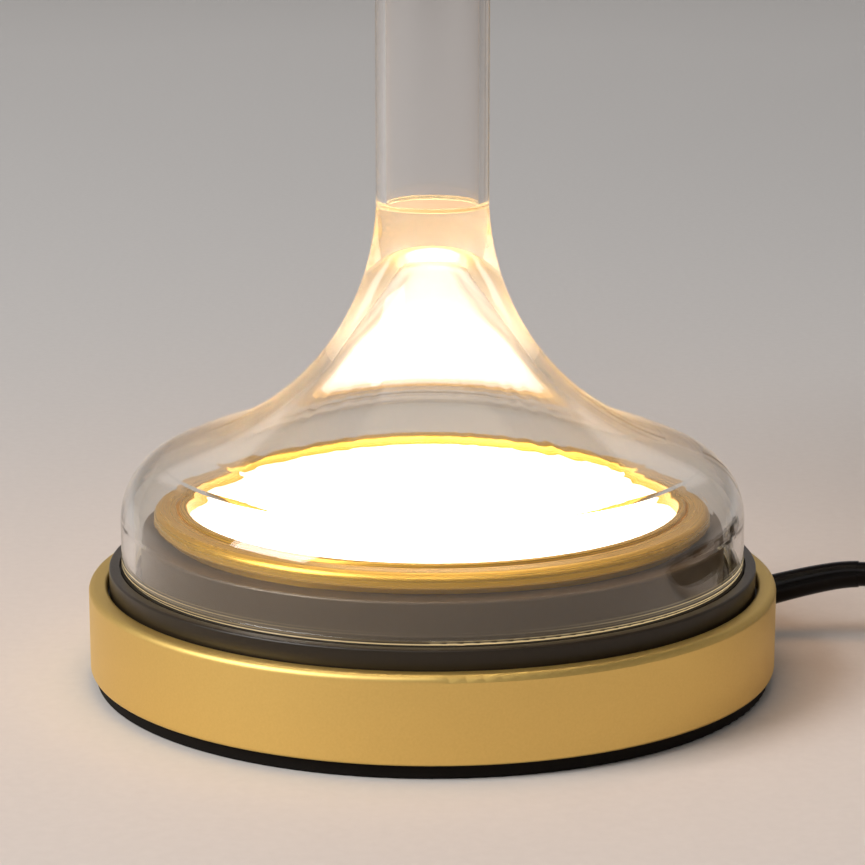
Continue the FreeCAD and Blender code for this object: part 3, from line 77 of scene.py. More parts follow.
# Fine rings round the glass's foot and a line along its lower edge, painted as a glow: painted highlights
# that give off a fixed warm light, lit by no lamp
RING_PITCH = 1.1 * MM
RING_WIDTH = 0.22 * MM
RINGS_HIGH = 3 * MM
FOOT_LINE_HIGH = 0.5 * MM
FOOT_LINE_SHARE = 0.45
PAINTED_FOOT_GLOW = 1.2

# The seamless floor and wall round the lamp, in metres
SWEEP_FLAT = (0.02, 0.5, 1.2)
SWEEP_REACH = 2.4
SWEEP_BEND = 0.8
SWEEP_HEIGHT = 1.9
SWEEP_SIDES = 96
SWEEP_STEPS = 16

# The studio's panels: position and size in metres, the setting that holds the power, and whether mirrors
# and glass show the panel. The wall panel lights the backdrop, and its image would lie across the bell's
# shoulders.
PANELS = {
    "key_softbox": ((-2.1, -0.96, 1.92), (1.64, 1.64), "key_power", True),
    "back_panel": ((0, 2.2, 1.1), (2.6, 0.6), "back_power", True),
    "wall_panel": ((0, 2.2, 1.1), (2.6, 0.6), "wall_power", False),
    "top_panel": ((-0.3, -0.8, 1.5), (1.6, 1.0), "top_power", True),
}
LAMP_WHITE = (1.0, 0.99, 0.98)
SHADE_LIGHT_ACROSS = 0.22
SHADE_LIGHT_HIGH = 0.27
SENSOR_WIDTH = 36.0


# Settings that a user would change


class LampFinishSettings(bpy.types.PropertyGroup):
    """Colours and finishes of the lamp."""

    gold_low: bpy.props.StringProperty(
        name="Gold, darker", description="sRGB hex colour of the gold's darker clouds", default="e6c26f")
    gold_high: bpy.props.StringProperty(
        name="Gold, lighter", description="sRGB hex colour of the gold's lighter clouds", default="f0ce7d")
    bronze_low: bpy.props.StringProperty(
        name="Bronze, darker", description="sRGB hex colour of the bezel's darker rings", default="cc9c3c")
    bronze_high: bpy.props.StringProperty(
        name="Bronze, lighter", description="sRGB hex colour of the bezel's lighter rings",
        default="dcae48")
    glow: bpy.props.FloatProperty(
        name="Glow", description="Brightness of the lit diffuser's middle, where 1 is white", default=76.0)
    glow_rim: bpy.props.FloatProperty(
        name="Glow at the rim", description="Brightness of the lit diffuser at its rim", default=1.3)
    glow_colour: bpy.props.StringProperty(
        name="Glow colour", description="sRGB hex colour of the light in the diffuser's middle",
        default="fff5ea")
    glow_rim_colour: bpy.props.StringProperty(
        name="Rim's glow colour", description="sRGB hex colour of the light at the diffuser's rim",
        default="fff0d8")
    haze_low: bpy.props.FloatProperty(
        name="Haze of the bell", description="Share of the light that the bell scatters below its neck",
        default=0.003)
    haze: bpy.props.FloatProperty(
        name="Haze of the neck", description="Share of the light that the bell scatters at its neck",
        default=0.2)
    edge_haze: bpy.props.FloatProperty(
        name="Edge haze",
        description="Share more where the bell is seen edge on, and twice it for the tube", default=0.05)
    haze_start: bpy.props.FloatProperty(
        name="Haze start", description="Height at which the neck's haze begins",
        default=88 * MM, unit="LENGTH")
    haze_full: bpy.props.FloatProperty(
        name="Haze full", description="Height at which it reaches its full share", default=100 * MM,
        unit="LENGTH")
    tip_haze: bpy.props.FloatProperty(
        name="Haze of the tip", description="Share more on the inner face of the hollow's tip",
        default=0.055)
    tip_fill: bpy.props.FloatProperty(
        name="Fill of the tip", description="Share of pale light where that face is seen straight on",
        default=0.26)
    tube_haze: bpy.props.FloatProperty(
        name="Haze of the tube", description="Share of the light that the tube scatters", default=0.002)
    glass_ior: bpy.props.FloatProperty(
        name="Glass index", description="Index of refraction of the glass", default=1.48)
    wave_depth: bpy.props.FloatProperty(
        name="Glass waves", description="Depth of the slow waves in the blown glass", default=0.02 * MM,
        unit="LENGTH")


class LampCordSettings(bpy.types.PropertyGroup):
    """Sizes of the mains cord."""

    diameter: bpy.props.FloatProperty(
        name="Diameter", description="Outside of the cord's sheath", default=5.6 * MM, unit="LENGTH")
    relief_length: bpy.props.FloatProperty(
        name="Relief length", description="Length of the sleeve where the cord leaves the base",
        default=26 * MM, unit="LENGTH")
    relief_root: bpy.props.FloatProperty(
        name="Relief root", description="Outside of that sleeve at the base",
        default=7.0 * MM, unit="LENGTH")
    relief_tip: bpy.props.FloatProperty(
        name="Relief tip", description="Outside of that sleeve at its tip", default=6.0 * MM, unit="LENGTH")


class LampStageSettings(bpy.types.PropertyGroup):
    """Floor, lights and camera."""

    floor_low: bpy.props.StringProperty(
        name="Floor, darker", description="sRGB hex colour of the floor's darker fibres", default="c9c6c4")
    floor_high: bpy.props.StringProperty(
        name="Floor, lighter", description="sRGB hex colour of the floor's lighter fibres",
        default="d1cecc")
    sky: bpy.props.FloatProperty(
        name="Room light", description="Brightness of the even light from all round", default=0.15)
    key_power: bpy.props.FloatProperty(
        name="Key light", description="Power of the large softbox at the left", default=71.0, unit="POWER")
    back_power: bpy.props.FloatProperty(
        name="Back light", description="Power of the long panel behind", default=1.6, unit="POWER")
    wall_power: bpy.props.FloatProperty(
        name="Backdrop light", description="Power of the panel behind that no mirror shows", default=5.2,
        unit="POWER")
    top_power: bpy.props.FloatProperty(
        name="Top light", description="Power of the panel above", default=4.8, unit="POWER")
    shade_power: bpy.props.FloatProperty(
        name="Shade light", description="Power that the shade throws back on the table", default=0.25,
        unit="POWER")
    shade_colour: bpy.props.StringProperty(
        name="Shade light's colour", description="sRGB hex colour of that light", default="ffb468")
    camera_distance: bpy.props.FloatProperty(
        name="Camera distance", description="Level distance from the lamp's axis to the camera",
        default=620 * MM, unit="LENGTH")
    camera_height: bpy.props.FloatProperty(
        name="Camera height", description="Height of the camera above the table", default=192.8 * MM,
        unit="LENGTH")
    camera_pitch: bpy.props.FloatProperty(
        name="Camera pitch", description="How far the camera looks down", default=0.2212, unit="ROTATION")
    camera_lens: bpy.props.FloatProperty(
        name="Lens", description="Focal length for a 36 mm frame, in millimetres", default=121.8)


# Helpers for colours, nodes, objects and materials


def hex_colour(text):
    """A colour written as sRGB hex, as linear values with full alpha."""
    parts = [int(text[i:i + 2], 16) / 255 for i in (0, 2, 4)]
    return (*(c / 12.92 if c <= 0.04045 else ((c + 0.055) / 1.055) ** 2.4 for c in parts), 1.0)


def node(tree, kind, inputs=None, **settings):
    """Adds a node. An input is set to a value, or linked where it is given a socket."""
    made = tree.nodes.new(kind)
    for name, value in settings.items():
        setattr(made, name, value)
    for key, value in (inputs or {}).items():
        if isinstance(value, bpy.types.NodeSocket):
            tree.links.new(value, made.inputs[key])
        else:
            made.inputs[key].default_value = value
    return made


def placed(name, data):
    """A new object in the scene."""
    made = bpy.data.objects.new(name, data)
    bpy.context.scene.collection.objects.link(made)
    return made


class Finish:
    """A material under construction: its node tree, its shader and the point on the piece in metres."""

    def __init__(self, name, inputs):
        self.material = bpy.data.materials.new(name)
        self.material.use_nodes = True
        self.tree = self.material.node_tree
        self.tree.nodes.clear()
        self.shader = node(self.tree, "ShaderNodeBsdfPrincipled", inputs)
        self.output = node(self.tree, "ShaderNodeOutputMaterial", {"Surface": self.shader.outputs[0]})
        self.place = node(self.tree, "ShaderNodeTexCoord").outputs["Object"]

    def add(self, kind, inputs=None, **settings):
        """Adds a node to the material."""
        return node(self.tree, kind, inputs, **settings)

    def drive(self, socket, value):
        """Links a value to one of the shader's sockets."""
        self.tree.links.new(value, self.shader.inputs[socket])

    def from_axis(self):
        """How far a point lies from the lamp's axis, in metres."""
        level = {0: self.place, 1: (1, 1, 0)}
        flat = self.add("ShaderNodeVectorMath", level, operation="MULTIPLY").outputs[0]
        return self.add("ShaderNodeVectorMath", {0: flat}, operation="LENGTH").outputs["Value"]

    def dress(self, share, low, high, roughness=None, depth=None):
        """Colour between two hex colours by a share from 0 to 1. It may also set roughness and relief."""
        colours = {"Factor": share, "A": hex_colour(low), "B": hex_colour(high)}
        self.drive("Base Color", self.add("ShaderNodeMix", colours, data_type="RGBA").outputs["Result"])
        if roughness:
            spread = {"Value": share, "To Min": roughness[0], "To Max": roughness[1]}
            self.drive("Roughness", self.add("ShaderNodeMapRange", spread).outputs[0])
        if depth:
            relief = self.add("ShaderNodeBump", {"Height": share, "Distance": depth, "Strength": 1.0})
            self.drive("Normal", relief.outputs[0])


def mottled(name, low, high, size, inputs, roughness=None, depth=None):
    """A finish whose colour wanders in soft blotches of a real size in metres."""
    finish = Finish(name, inputs)
    blotch = {"Vector": finish.place, "Scale": 1 / size, "Detail": 3.0}
    finish.dress(finish.add("ShaderNodeTexNoise", blotch).outputs[0], low, high, roughness, depth)
    return finish


def turned(name, low, high, pitch, inputs, roughness):
    """A finish of fine rings round the lamp's axis, as a lathe leaves them, at a real pitch in metres."""
    finish = Finish(name, inputs)
    height = finish.add("ShaderNodeSeparateXYZ", {"Vector": finish.place}).outputs["Z"]
    section = finish.add("ShaderNodeCombineXYZ", {"X": finish.from_axis(), "Y": height}).outputs[0]
    rings = {"Vector": section, "Scale": 1 / pitch, "Detail": 1.0}
    finish.dress(finish.add("ShaderNodeTexNoise", rings).outputs[0], low, high, roughness)
    return finish


# Materials. Each is named for the real material and how its surface was made.


def gold_anodised(settings):
    """Aluminium, bead-blasted and anodised gold: a soft satin glow. The grain is drawn coarser than the
    real 0.1 mm, which would not show."""
    return mottled("aluminium_blasted_gold_anodised", settings.gold_low, settings.gold_high, 0.5 * MM,
                   {"Metallic": 1.0}, (0.43, 0.51), 0.002 * MM)


def bronze_anodised(settings):
    """Aluminium, turned and anodised a golden bronze: rings too fine to part, so only a soft sheen."""
    return turned("aluminium_turned_bronze_anodised", settings.bronze_low, settings.bronze_high, 0.4 * MM,
                  {"Metallic": 0.7}, (0.24, 0.32))


def taupe_coat(settings):
    """Die-cast aluminium with a satin taupe coat: quiet, with a broad soft highlight."""
    return mottled("aluminium_cast_taupe_coated", "504230", "5a4b37", 0.8 * MM,
                   {"Metallic": 0.3}, (0.38, 0.46), 0.003 * MM)


def black_coat(settings):
    """Steel with a satin black powder coat: dark, with a soft highlight and faint orange peel."""
    return mottled("steel_satin_black_coated", "241d13", "2c2419", 1.2 * MM,
                   {"IOR": 1.5, "Specular IOR Level": 0.35}, (0.3, 0.38), 0.004 * MM)


def black_rubber(settings):
    """Moulded black rubber: matt, with a fine tool texture."""
    return mottled("rubber_moulded_black", "0a0603", "120c07", 0.6 * MM,
                   {"IOR": 1.52, "Specular IOR Level": 0.15}, (0.7, 0.8), 0.02 * MM)


def lit_opal(settings):
    """Opal acrylic lit from below: far brighter than white, as a lit lamp is to a camera, and brightest in
    the middle, over the inner rings of chips."""
    opal = mottled("acrylic_opal_lit", "f0ebe0", "f6f2e8", 0.4 * MM,
                   {"IOR": 1.49}, (0.45, 0.55), 0.002 * MM)
    inward = {"Value": opal.from_axis(), "From Max": DIFFUSER_RADIUS, "To Min": 1.0, "To Max": 0.0}
    middle = opal.add("ShaderNodeMapRange", inward).outputs[0]
    colours = {"Factor": middle, "A": hex_colour(settings.glow_rim_colour),
               "B": hex_colour(settings.glow_colour)}
    opal.drive("Emission Color", opal.add("ShaderNodeMix", colours, data_type="RGBA").outputs["Result"])
    swell = opal.add("ShaderNodeMath", {0: middle, 1: GLOW_POWER}, operation="POWER").outputs[0]
    levels = {"Value": swell, "To Min": settings.glow_rim, "To Max": settings.glow}
    opal.drive("Emission Strength", opal.add("ShaderNodeMapRange", levels).outputs[0])
    return opal


def blown_glass(settings):
    """Clear borosilicate glass, blown and fire-polished: colourless, with slow waves from the blowing and a
    haze that picks up the lamp's warm light, most in the solid neck, round the hollow's tip and where the
    glass is seen edge on."""
    glass = clear_glass("glass_blown_clear", "fdfefd", settings, wave=14 * MM, stretch=(1, 1, 0.35))
    height = glass.add("ShaderNodeSeparateXYZ", {"Vector": glass.place}).outputs["Z"]
    rise = {"Value": height, "From Min": settings.haze_start, "From Max": settings.haze_full,
            "To Min": settings.haze_low, "To Max": settings.haze}
    neck = glass.add("ShaderNodeMapRange", rise, interpolation_type="SMOOTHSTEP").outputs[0]
    tip = hollow_tip(glass, height)
    haze = {0: tip, 1: settings.tip_haze, 2: neck}
    share = glass.add("ShaderNodeMath", haze, operation="MULTIPLY_ADD").outputs[0]
    surface = warm_haze(glass, settings.edge_haze, share)
    surface = filled_tip(glass, settings.tip_fill, tip, surface)
    surface = matt_top(glass, height, surface)
    lamps_pass(glass, painted_foot_glow(glass, height, surface))
    return glass


def hollow_tip(glass, height):
    """A share that climbs from 0 to 1 up the hollow's inner face, and is 0 on the bell's outer face."""
    cone = {0: height, 1: HOLLOW_LEAN, 2: glass.from_axis()}
    reach = glass.add("ShaderNodeMath", cone, operation="MULTIPLY_ADD").outputs[0]
    inside = glass.add("ShaderNodeMath", {0: reach, 1: HOLLOW_REACH}, operation="LESS_THAN").outputs[0]
    climb = {"Value": height, "From Min": TIP_START, "From Max": TIP_FULL}
    misty = glass.add("ShaderNodeMapRange", climb, interpolation_type="SMOOTHSTEP").outputs[0]
    return glass.add("ShaderNodeMath", {0: inside, 1: misty}, operation="MULTIPLY").outputs[0]


def filled_tip(glass, fill, tip, surface):
    """The surface with the hollow's tip filled by pale light, most where it is seen straight on."""
    facing = glass.add("ShaderNodeLayerWeight", {"Blend": 0.5}).outputs["Facing"]
    straight = glass.add("ShaderNodeMath", {0: 1.0, 1: facing}, operation="SUBTRACT").outputs[0]
    sharp = glass.add("ShaderNodeMath", {0: straight, 1: FILL_POWER}, operation="POWER").outputs[0]
    level = glass.add("ShaderNodeMath", {0: sharp, 1: fill}, operation="MULTIPLY").outputs[0]
    share = glass.add("ShaderNodeMath", {0: tip, 1: level}, operation="MULTIPLY").outputs[0]
    pale = glass.add("ShaderNodeBsdfTranslucent", {"Color": hex_colour("fff6ec")}).outputs[0]
    return glass.add("ShaderNodeMixShader", {0: share, 1: surface, 2: pale}).outputs[0]


def matt_top(glass, height, surface):
    """The surface with the neck's flat top ground matt, where the tube is bonded on."""
    below = NECK_TOP - 0.02 * MM
    top = glass.add("ShaderNodeMath", {0: height, 1: below}, operation="GREATER_THAN").outputs[0]
    matt = glass.add("ShaderNodeBsdfDiffuse", {"Color": hex_colour("ecd3b8")}).outputs[0]
    return glass.add("ShaderNodeMixShader", {0: top, 1: surface, 2: matt}).outputs[0]


def painted_foot_glow(glass, height, surface):
    """The surface with a painted glow: fine rings round the foot and a line along its lower edge give off a
    fixed warm light, in place of light that the wall would guide down. The rings glow most where the glass
    is seen edge on."""
    wave = glass.add("ShaderNodeMath", {0: height, 1: RING_PITCH / 2}, operation="PINGPONG").outputs[0]
    line = glass.add("ShaderNodeMath", {0: wave, 1: RING_WIDTH / 2}, operation="LESS_THAN").outputs[0]
    foot = {0: height, 1: SEAT_TOP + RINGS_HIGH}
    low = glass.add("ShaderNodeMath", foot, operation="LESS_THAN").outputs[0]
    ring = glass.add("ShaderNodeMath", {0: line, 1: low}, operation="MULTIPLY").outputs[0]
    seen = glass.add("ShaderNodeLayerWeight", {"Blend": 0.35}).outputs["Facing"]
    rings = glass.add("ShaderNodeMath", {0: ring, 1: seen}, operation="MULTIPLY").outputs[0]
    lowest = {0: height, 1: SEAT_TOP + FOOT_LINE_HIGH}
    edge = glass.add("ShaderNodeMath", lowest, operation="LESS_THAN").outputs[0]
    lines = {0: edge, 1: FOOT_LINE_SHARE, 2: rings}
    share = glass.add("ShaderNodeMath", lines, operation="MULTIPLY_ADD").outputs[0]
    # Painted glow: a fixed warm emission on the foot's rings and edge line, not light from any lamp
    warm = {"Color": hex_colour("ffe2a8"), "Strength": PAINTED_FOOT_GLOW}
    light = glass.add("ShaderNodeEmission", warm).outputs[0]
    return glass.add("ShaderNodeMixShader", {0: share, 1: surface, 2: light}).outputs[0]


def drawn_glass(settings):
    """Clear glass drawn into a tube: colourless, with faint streaks along its length and pale edges."""
    glass = clear_glass("glass_drawn_clear", "fdfbfa", settings, wave=5 * MM, stretch=(1, 1, 0.02))
    lamps_pass(glass, warm_haze(glass, 2 * settings.edge_haze, settings.tube_haze))
    return glass


def warm_haze(glass, edge_share, share):
    """The glass with a little light scattered in it, most where it is seen edge on and so looks thick."""
    facing = glass.add("ShaderNodeLayerWeight", {"Blend": 0.5}).outputs["Facing"]
    edge = glass.add("ShaderNodeMath", {0: facing, 1: EDGE_POWER}, operation="POWER").outputs[0]
    shares = {0: edge, 1: edge_share, 2: share}
    haze = glass.add("ShaderNodeMath", shares, operation="MULTIPLY_ADD").outputs[0]
    warm = glass.add("ShaderNodeBsdfTranslucent", {"Color": hex_colour("ffd286")}).outputs[0]
    return glass.add("ShaderNodeMixShader", {0: haze, 1: glass.shader.outputs[0], 2: warm}).outputs[0]


def clear_glass(name, tint, settings, wave, stretch):
    """Smooth clear glass whose surface waves slowly, over a size in metres, stretched along the axes."""
    inputs = {"Base Color": hex_colour(tint), "Roughness": 0.0, "IOR": settings.glass_ior,
              "Transmission Weight": 1.0}
    glass = Finish(name, inputs)
    place = glass.add("ShaderNodeVectorMath", {0: glass.place, 1: stretch}, operation="MULTIPLY").outputs[0]
    waves = glass.add("ShaderNodeTexNoise", {"Vector": place, "Scale": 1 / wave, "Detail": 0.0}).outputs[0]
    relief = {"Height": waves, "Distance": settings.wave_depth, "Strength": 1.0}
    glass.drive("Normal", glass.add("ShaderNodeBump", relief).outputs[0])
    return glass


def lamps_pass(finish, surface):
    """Lamps shine straight through the piece, as its own shadow is too faint to see."""
    path = finish.add("ShaderNodeLightPath").outputs
    soft = {0: path["Is Shadow Ray"], 1: path["Is Diffuse Ray"]}
    share = finish.add("ShaderNodeMath", soft, operation="MAXIMUM").outputs[0]
    open_way = finish.add("ShaderNodeBsdfTransparent", {"Color": (0.95, 0.95, 0.95, 1)}).outputs[0]
    mixed = finish.add("ShaderNodeMixShader", {0: share, 1: surface, 2: open_way})
    finish.tree.links.new(mixed.outputs[0], finish.output.inputs["Surface"])


def clear_bond(settings):
    """Clear adhesive, a little yellow where it is squeezed out between the two glasses."""
    bond = mottled("adhesive_clear_cured", "ffe9b0", "fff2cc", 2 * MM,
                   {"IOR": 1.5, "Transmission Weight": 0.85}, (0.2, 0.3))
    lamps_pass(bond, bond.shader.outputs[0])
    return bond


def zinc_steel(settings):
    """Zinc-plated steel: pale, slightly blotched by the plating."""
    return mottled("steel_zinc_plated", "a9abaa", "c6c7c4", 4 * MM, {"Metallic": 1.0}, (0.25, 0.42))


def cast_iron(settings):
    """Cast iron: dark, dull and coarse."""
    return mottled("iron_as_cast", "35332f", "4d4a46", 1.5 * MM, {"Metallic": 1.0}, (0.55, 0.68), 0.15 * MM)


def ferrite(settings):
    """Sintered ferrite: near black, matt and slightly grainy."""
    return mottled("ferrite_sintered", "26262a", "34343a", 0.5 * MM, {"IOR": 2.3}, (0.5, 0.6), 0.02 * MM)


def white_abs(settings):
    """White ABS, moulded with a light spark-eroded grain."""
    return mottled("abs_moulded_white", "dcdad3", "e6e4de", 0.5 * MM,
                   {"IOR": 1.53}, (0.45, 0.55), 0.01 * MM)


def black_abs(settings):
    """Black ABS with a fine spark-eroded grain: a dim, spread highlight."""
    return mottled("abs_moulded_black", "100e0c", "191613", 0.5 * MM,
                   {"IOR": 1.53}, (0.32, 0.42), 0.008 * MM)


def polished_abs(settings):
    """Black ABS from a polished tool: a clear highlight, slightly wavy."""
    return mottled("abs_polished_black", "0e0c0a", "15120f", 3.0 * MM,
                   {"IOR": 1.53}, (0.16, 0.22), 0.004 * MM)


def grey_nylon(settings):
    """Grey nylon, moulded: dull and slightly waxy."""
    return mottled("nylon_moulded_grey", "3a3a3a", "464645", 0.6 * MM, {"IOR": 1.53}, (0.5, 0.6), 0.01 * MM)


def black_pvc(settings):
    """Black PVC sheath, extruded: glossy, with a faint ripple along the cord."""
    return mottled("pvc_extruded_black", "050302", "0a0705", 5.0 * MM,
                   {"IOR": 1.5, "Specular IOR Level": 0.15}, (0.15, 0.22), 0.01 * MM)


def green_board(settings):
    """Glass-fibre board under green solder mask: smooth, glossy lacquer."""
    return mottled("board_green_mask", "0f4a24", "166030", 1.0 * MM,
                   {"IOR": 1.53}, (0.25, 0.35), 0.003 * MM)


def white_board(settings):
    """Aluminium board under white solder mask: smooth lacquer that throws the light back."""
    return mottled("board_white_mask", "e2e2dc", "efefea", 1.0 * MM,
                   {"IOR": 1.53}, (0.25, 0.35), 0.003 * MM)


def phosphor(settings):
    """Chips under silicone with yellow phosphor."""
    return mottled("silicone_phosphor_yellow", "e8cf5a", "f2dc78", 0.5 * MM,
                   {"IOR": 1.41}, (0.3, 0.4), 0.003 * MM)


def paired_wires(settings):
    """Thin wires in PVC, brown on one side of the cord's line and blue on the other."""
    wires = Finish("pvc_wires_brown_and_blue", {"Roughness": 0.35, "IOR": 1.53})
    across = (-math.sin(CORD_ANGLE), math.cos(CORD_ANGLE), 0)
    side = wires.add("ShaderNodeVectorMath", {0: wires.place, 1: across}, operation="DOT_PRODUCT")
    side = side.outputs["Value"]
    share = wires.add("ShaderNodeMath", {0: side, 1: 0.0}, operation="GREATER_THAN").outputs[0]
    wires.dress(share, "1c3f78", "5e2c18")
    return wires


def blue_sleeve(settings):
    """Heat-shrunk sleeve on the capacitors: dark blue and glossy."""
    return mottled("pet_sleeve_dark_blue", "14182c", "1a2038", 2.0 * MM,
                   {"IOR": 1.57}, (0.25, 0.35), 0.005 * MM)


def soft_sleeve(settings):
    """Soft clear silicone: milky, with a dull surface."""
    return mottled("silicone_moulded_clear", "c9c9c4", "d6d6d2", 1.0 * MM,
                   {"IOR": 1.41}, (0.4, 0.5), 0.01 * MM)


def turned_brass(settings):
    """Brass, turned and lacquered: warm, with fine rings."""
    return turned("brass_turned_lacquered", "c79a4c", "dcb368", 0.3 * MM, {"Metallic": 1.0}, (0.22, 0.32))


def nickel_plate(settings):
    """Brass pins plated with nickel: bright, with faint wear along the length."""
    return mottled("brass_nickel_plated", "b9b5aa", "d2cfc6", 1.5 * MM, {"Metallic": 1.0}, (0.14, 0.26))


def spun_shade(settings):
    """Spun aluminium: satin gold paint outside, matt white inside, told apart by which way a face looks."""
    shade = Finish("aluminium_spun_gold_and_white", {"IOR": 1.5})
    normal = shade.add("ShaderNodeNewGeometry").outputs["True Normal"]
    up = shade.add("ShaderNodeSeparateXYZ", {"Vector": normal}).outputs["Z"]
    outside = shade.add("ShaderNodeMath", {0: up, 1: 0.0}, operation="GREATER_THAN").outputs[0]
    cloud = {"Vector": shade.place, "Scale": 1 / (40 * MM), "Detail": 2.0}
    tones = {"Factor": shade.add("ShaderNodeTexNoise", cloud).outputs[0],
             "A": hex_colour(settings.gold_low), "B": hex_colour(settings.gold_high)}
    gold = shade.add("ShaderNodeMix", tones, data_type="RGBA").outputs["Result"]
    coats = {"Factor": outside, "A": hex_colour("efece4"), "B": gold}
    shade.drive("Base Color", shade.add("ShaderNodeMix", coats, data_type="RGBA").outputs["Result"])
    shade.drive("Metallic", outside)
    sheen = {"Value": outside, "To Min": 0.6, "To Max": 0.34}
    shade.drive("Roughness", shade.add("ShaderNodeMapRange", sheen).outputs[0])
    return shade


# Mains cord. Its coil, in millimetres and turns, is wound as the CAD coil is.


COIL_CENTRE = (121.0, 87.9)
COIL_RADIUS = 41.6
COIL_PITCH = 6.3
COIL_LOW = 4.1
COIL_DIP = 1.6
COIL_START = math.radians(60.0)
LAYER_TURNS = 3.375
CLIMB_TURNS = 0.5
COIL_TURNS = 2 * LAYER_TURNS + CLIMB_TURNS
POINTS_PER_TURN = 24


def on_cord(x, y, z):
    """A point of the cord's route in millimetres, from where the cord leaves the base."""
    return CORD_ROOT + Vector((x, y, z))


def coil_point(turn):
    """A point of the coil's centre line, by the turns wound so far."""
    if turn <= LAYER_TURNS:
        reach, height = COIL_RADIUS - COIL_PITCH * turn, COIL_LOW
    elif turn < LAYER_TURNS + CLIMB_TURNS:
        share = (turn - LAYER_TURNS) / CLIMB_TURNS
        reach = COIL_RADIUS - COIL_PITCH * LAYER_TURNS - COIL_DIP * math.sin(math.pi * share)
        height = COIL_LOW + COIL_PITCH * (1 - math.cos(math.pi * share)) / 2
    else:
        reach, height = COIL_RADIUS - COIL_PITCH * (COIL_TURNS - turn), COIL_LOW + COIL_PITCH
    angle = COIL_START + math.tau * turn
    x, y = COIL_CENTRE
    return on_cord(x + reach * math.cos(angle), y + reach * math.sin(angle), height)


def coil_heading(turn):
    """The way that the cord runs at a turn of the coil."""
    step = 0.01
    return (coil_point(min(turn + step, COIL_TURNS)) - coil_point(max(turn - step, 0.0))).normalized()


# The cord's route, in millimetres, as the CAD route is chosen
LAMP_TO_SWITCH = [
    on_cord(2.084, 0.706, 9.8), on_cord(13.0, 1.5, 12.7), on_cord(27.5, 0.1, 15.6),
    on_cord(44.0, -8.6, 14.6), on_cord(58.5, -27.0, 10.2), on_cord(76.5, -46.5, 5.8),
    on_cord(101.0, -60.5, 3.4), on_cord(128.5, -65.5, 3.1), on_cord(153.5, -60.0, 3.5),
    on_cord(170.5, -45.5, 5.0), on_cord(179.3, -29.0, 7.1), on_cord(183.0, -14.3, 8.8),
    on_cord(183.0, -4.1, 8.8),
]
SWITCH_TO_COIL = [on_cord(183.0, 57.9, 8.8), on_cord(183.0, 72.9, 8.8), on_cord(178.0, 91.9, 5.4)]
COIL_RUNS = (5.6, 20.6, 19.6)
PLUG_TAIL = on_cord(63.5, 11.9, 6.85)
PLUG_HEADING = math.radians(-95.0)
PLUG_RUNS = (52.0, 66.0)


def switch_to_plug():
    """The route from the switch through the coil to the plug, in millimetres."""
    near, before, after = COIL_RUNS
    start, end = coil_heading(0.0), coil_heading(COIL_TURNS)
    steps = round(POINTS_PER_TURN * COIL_TURNS)
    turns = [coil_point(COIL_TURNS * i / steps) for i in range(steps + 1)]
    into = [turns[0] - start * before, turns[0] - start * near]
    out_of = [turns[-1] + end * near, turns[-1] + end * after]
    heading = Vector((math.cos(PLUG_HEADING), math.sin(PLUG_HEADING), 0))
    tail = [PLUG_TAIL - heading * PLUG_RUNS[1], PLUG_TAIL - heading * PLUG_RUNS[0]]
    return SWITCH_TO_COIL + into + turns + out_of + tail


def cord_curve(name, points, diameter):
    """A smooth cord along the points of a route. Each point holds the cord's real radius, so that the
    curve's own box is right too."""
    curve = bpy.data.curves.new(name, "CURVE")
    curve.dimensions = "3D"
    curve.resolution_u = 8
    curve.bevel_depth = 1.0
    curve.bevel_resolution = 6
    curve.use_fill_caps = True
    spline = curve.splines.new("NURBS")
    spline.points.add(len(points) - 1)
    for target, point in zip(spline.points, points):
        target.co = (*(point * MM), 1)
        target.radius = diameter / 2
    spline.order_u = 3
    spline.use_endpoint_u = True
    piece = placed(name, curve)
    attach(piece, "base")
    return piece


def line_of(piece):
    """The points of a cord's centre line."""
    bare = piece.data.copy()
    bare.bevel_depth = 0
    carrier = bpy.data.objects.new("bare", bare)
    mesh = bpy.data.meshes.new_from_object(carrier)
    points = [vertex.co.copy() for vertex in mesh.vertices]
    bpy.data.meshes.remove(mesh)
    bpy.data.curves.remove(bare)
    return points


def band_faces(rings, sides):
    """The faces between rings of points, each ring with the same number of sides."""
    faces = []
    for ring in range(rings - 1):
        for k in range(sides):
            a, b = ring * sides + k, ring * sides + (k + 1) % sides
            faces.append((a, b, b + sides, a + sides))
    return faces


def tube_mesh(name, rings):
    """A closed mesh tube through rings, each given as centre, heading and radius."""
    sides = 32
    vertices = []
    across = Vector((0, 0, 1))
    for centre, heading, radius in rings:
        side = heading.cross(across).normalized()
        up = side.cross(heading).normalized()
        for k in range(sides):
            angle = math.tau * k / sides
            vertices.append(centre + (side * math.cos(angle) + up * math.sin(angle)) * radius)
    faces = band_faces(len(rings), sides)
    faces.append(tuple(reversed(range(sides))))
    faces.append(tuple((len(rings) - 1) * sides + k for k in range(sides)))
    mesh = bpy.data.meshes.new(name)
    mesh.from_pydata([tuple(v) for v in vertices], [], faces)
    mesh.validate()
    mesh.shade_smooth()
    mesh.set_sharp_from_angle(angle=math.radians(40))
    return placed(name, mesh)


# Operators. Each dresses a group of like pieces, given as a finish for each node's name.


class Dresser:
    """Gives the nodes of one group their finishes."""

    finishes = {}

    def execute(self, context):
        settings = context.scene.lamp_finish
        for finish, names in self.finishes.items():
            material = finish(settings).material
            for name in names:
                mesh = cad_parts[name].data
                mesh.materials.clear()
                mesh.materials.append(material)
        return {"FINISHED"}


